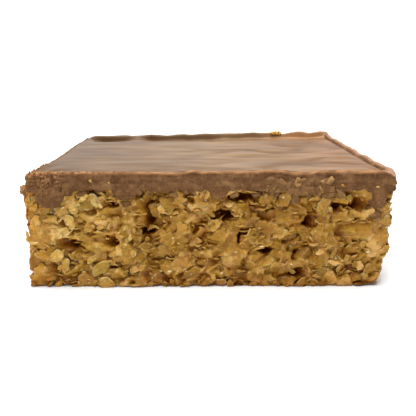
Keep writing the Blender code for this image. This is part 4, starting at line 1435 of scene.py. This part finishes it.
# How bright the room is from below to above, behind the slice and in front of it.
ROOM_STOPS = ((0.10, (1.05,) * 3), (0.34, (0.5,) * 3), (1.0, (0.45,) * 3))
FRONT_STOPS = ((0.10, (1.05,) * 3), (0.20, (0.2,) * 3), (1.0, (0.3,) * 3))
FRONT_FADE = (-0.4, 0.2)
# Each light: name, strength, how wide it is seen and where it comes from.
SUNS = (
    ("soft_key", 4.7, math.radians(45), (-0.06, 0.0, 1.0)),
    ("small_key", 0.7, math.radians(5), (-0.3, -0.7, 1.0)),
)


def add_camera():
    camera = bpy.data.cameras.new("photo_camera")
    camera.sensor_width = SENSOR
    camera.lens = FOCAL_PIXELS / FRAME_PIXELS * SENSOR
    camera.clip_start, camera.clip_end = 0.01, 50.0
    holder = linked("photo_camera", camera)
    holder.location = CAMERA_PLACE
    holder.rotation_euler = (math.pi / 2 - CAMERA_PITCH, 0.0, -CAMERA_YAW)
    bpy.context.scene.camera = holder


def add_floor():
    mesh = bpy.data.meshes.new("floor")
    half = FLOOR_SIZE / 2
    corners = [(-half, -half, 0), (half, -half, 0), (half, half, 0), (-half, half, 0)]
    mesh.from_pydata(corners, [], [(0, 1, 2, 3)])
    look = Look("pale_floor")
    mesh.materials.append(look.finish(base_color=FLOOR_TONE, roughness=0.9, specular_ior_level=0.1))
    floor = linked("floor", mesh)


def add_light():
    """A white room, darker above and in front, a broad soft light from above and a small one in front."""
    world = bpy.data.worlds.new("white_room")
    bpy.context.scene.world = world
    world.use_nodes = True
    nodes = Nodes(world.node_tree)
    axes = nodes.node("SeparateXYZ", vector=nodes.node("TexCoord").outputs["Generated"]).outputs
    front, room = (nodes.ramp(axes[2], stops) for stops in (FRONT_STOPS, ROOM_STOPS))
    colour = nodes.mix(nodes.spread(axes[1], *FRONT_FADE), front, room)
    nodes.fill(world.node_tree.nodes["Background"], color=colour)
    for name, strength, angle, start in SUNS:
        light = bpy.data.lights.new(name, "SUN")
        light.energy, light.angle = strength, angle
        linked(name, light).rotation_euler = (-Vector(start)).to_track_quat("-Z", "Y").to_euler()
    bpy.context.scene.view_settings.view_transform = "Standard"


# Putting it together.


def wear(piece, material, node):
    piece.data.materials.append(material)
    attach(piece, "root")
    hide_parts(node)


def main():
    oats, mass, chocolate = oat_look("glazed_oats", 0.25), oat_look("syrup_and_oats", 0.15), chocolate_look()
    rng = random.Random(LOOKS_SEED)
    wear(make_mass(rng), mass, "oat_base")
    for kind in (MIDDLE_FLAKES, OUTER_FLAKES, OAT_BITS):
        wear(make_flakes(kind, rng), oats, "oat_base")
    for make in (make_underside_flakes, make_crumbs):
        wear(make(rng), oats, "oat_base")
    wear(make_chocolate(), chocolate, "chocolate_top")
    for make in (make_coated_flakes, make_chocolate_chips):
        wear(make(rng), chocolate, "chocolate_top")
    add_floor()
    add_light()
    add_camera()


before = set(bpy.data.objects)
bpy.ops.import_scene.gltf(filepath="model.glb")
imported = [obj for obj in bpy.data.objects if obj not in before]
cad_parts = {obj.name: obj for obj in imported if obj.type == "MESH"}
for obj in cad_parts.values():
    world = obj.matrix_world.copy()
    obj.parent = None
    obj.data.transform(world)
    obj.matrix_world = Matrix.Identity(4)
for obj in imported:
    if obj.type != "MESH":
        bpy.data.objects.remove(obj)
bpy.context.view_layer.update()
main()
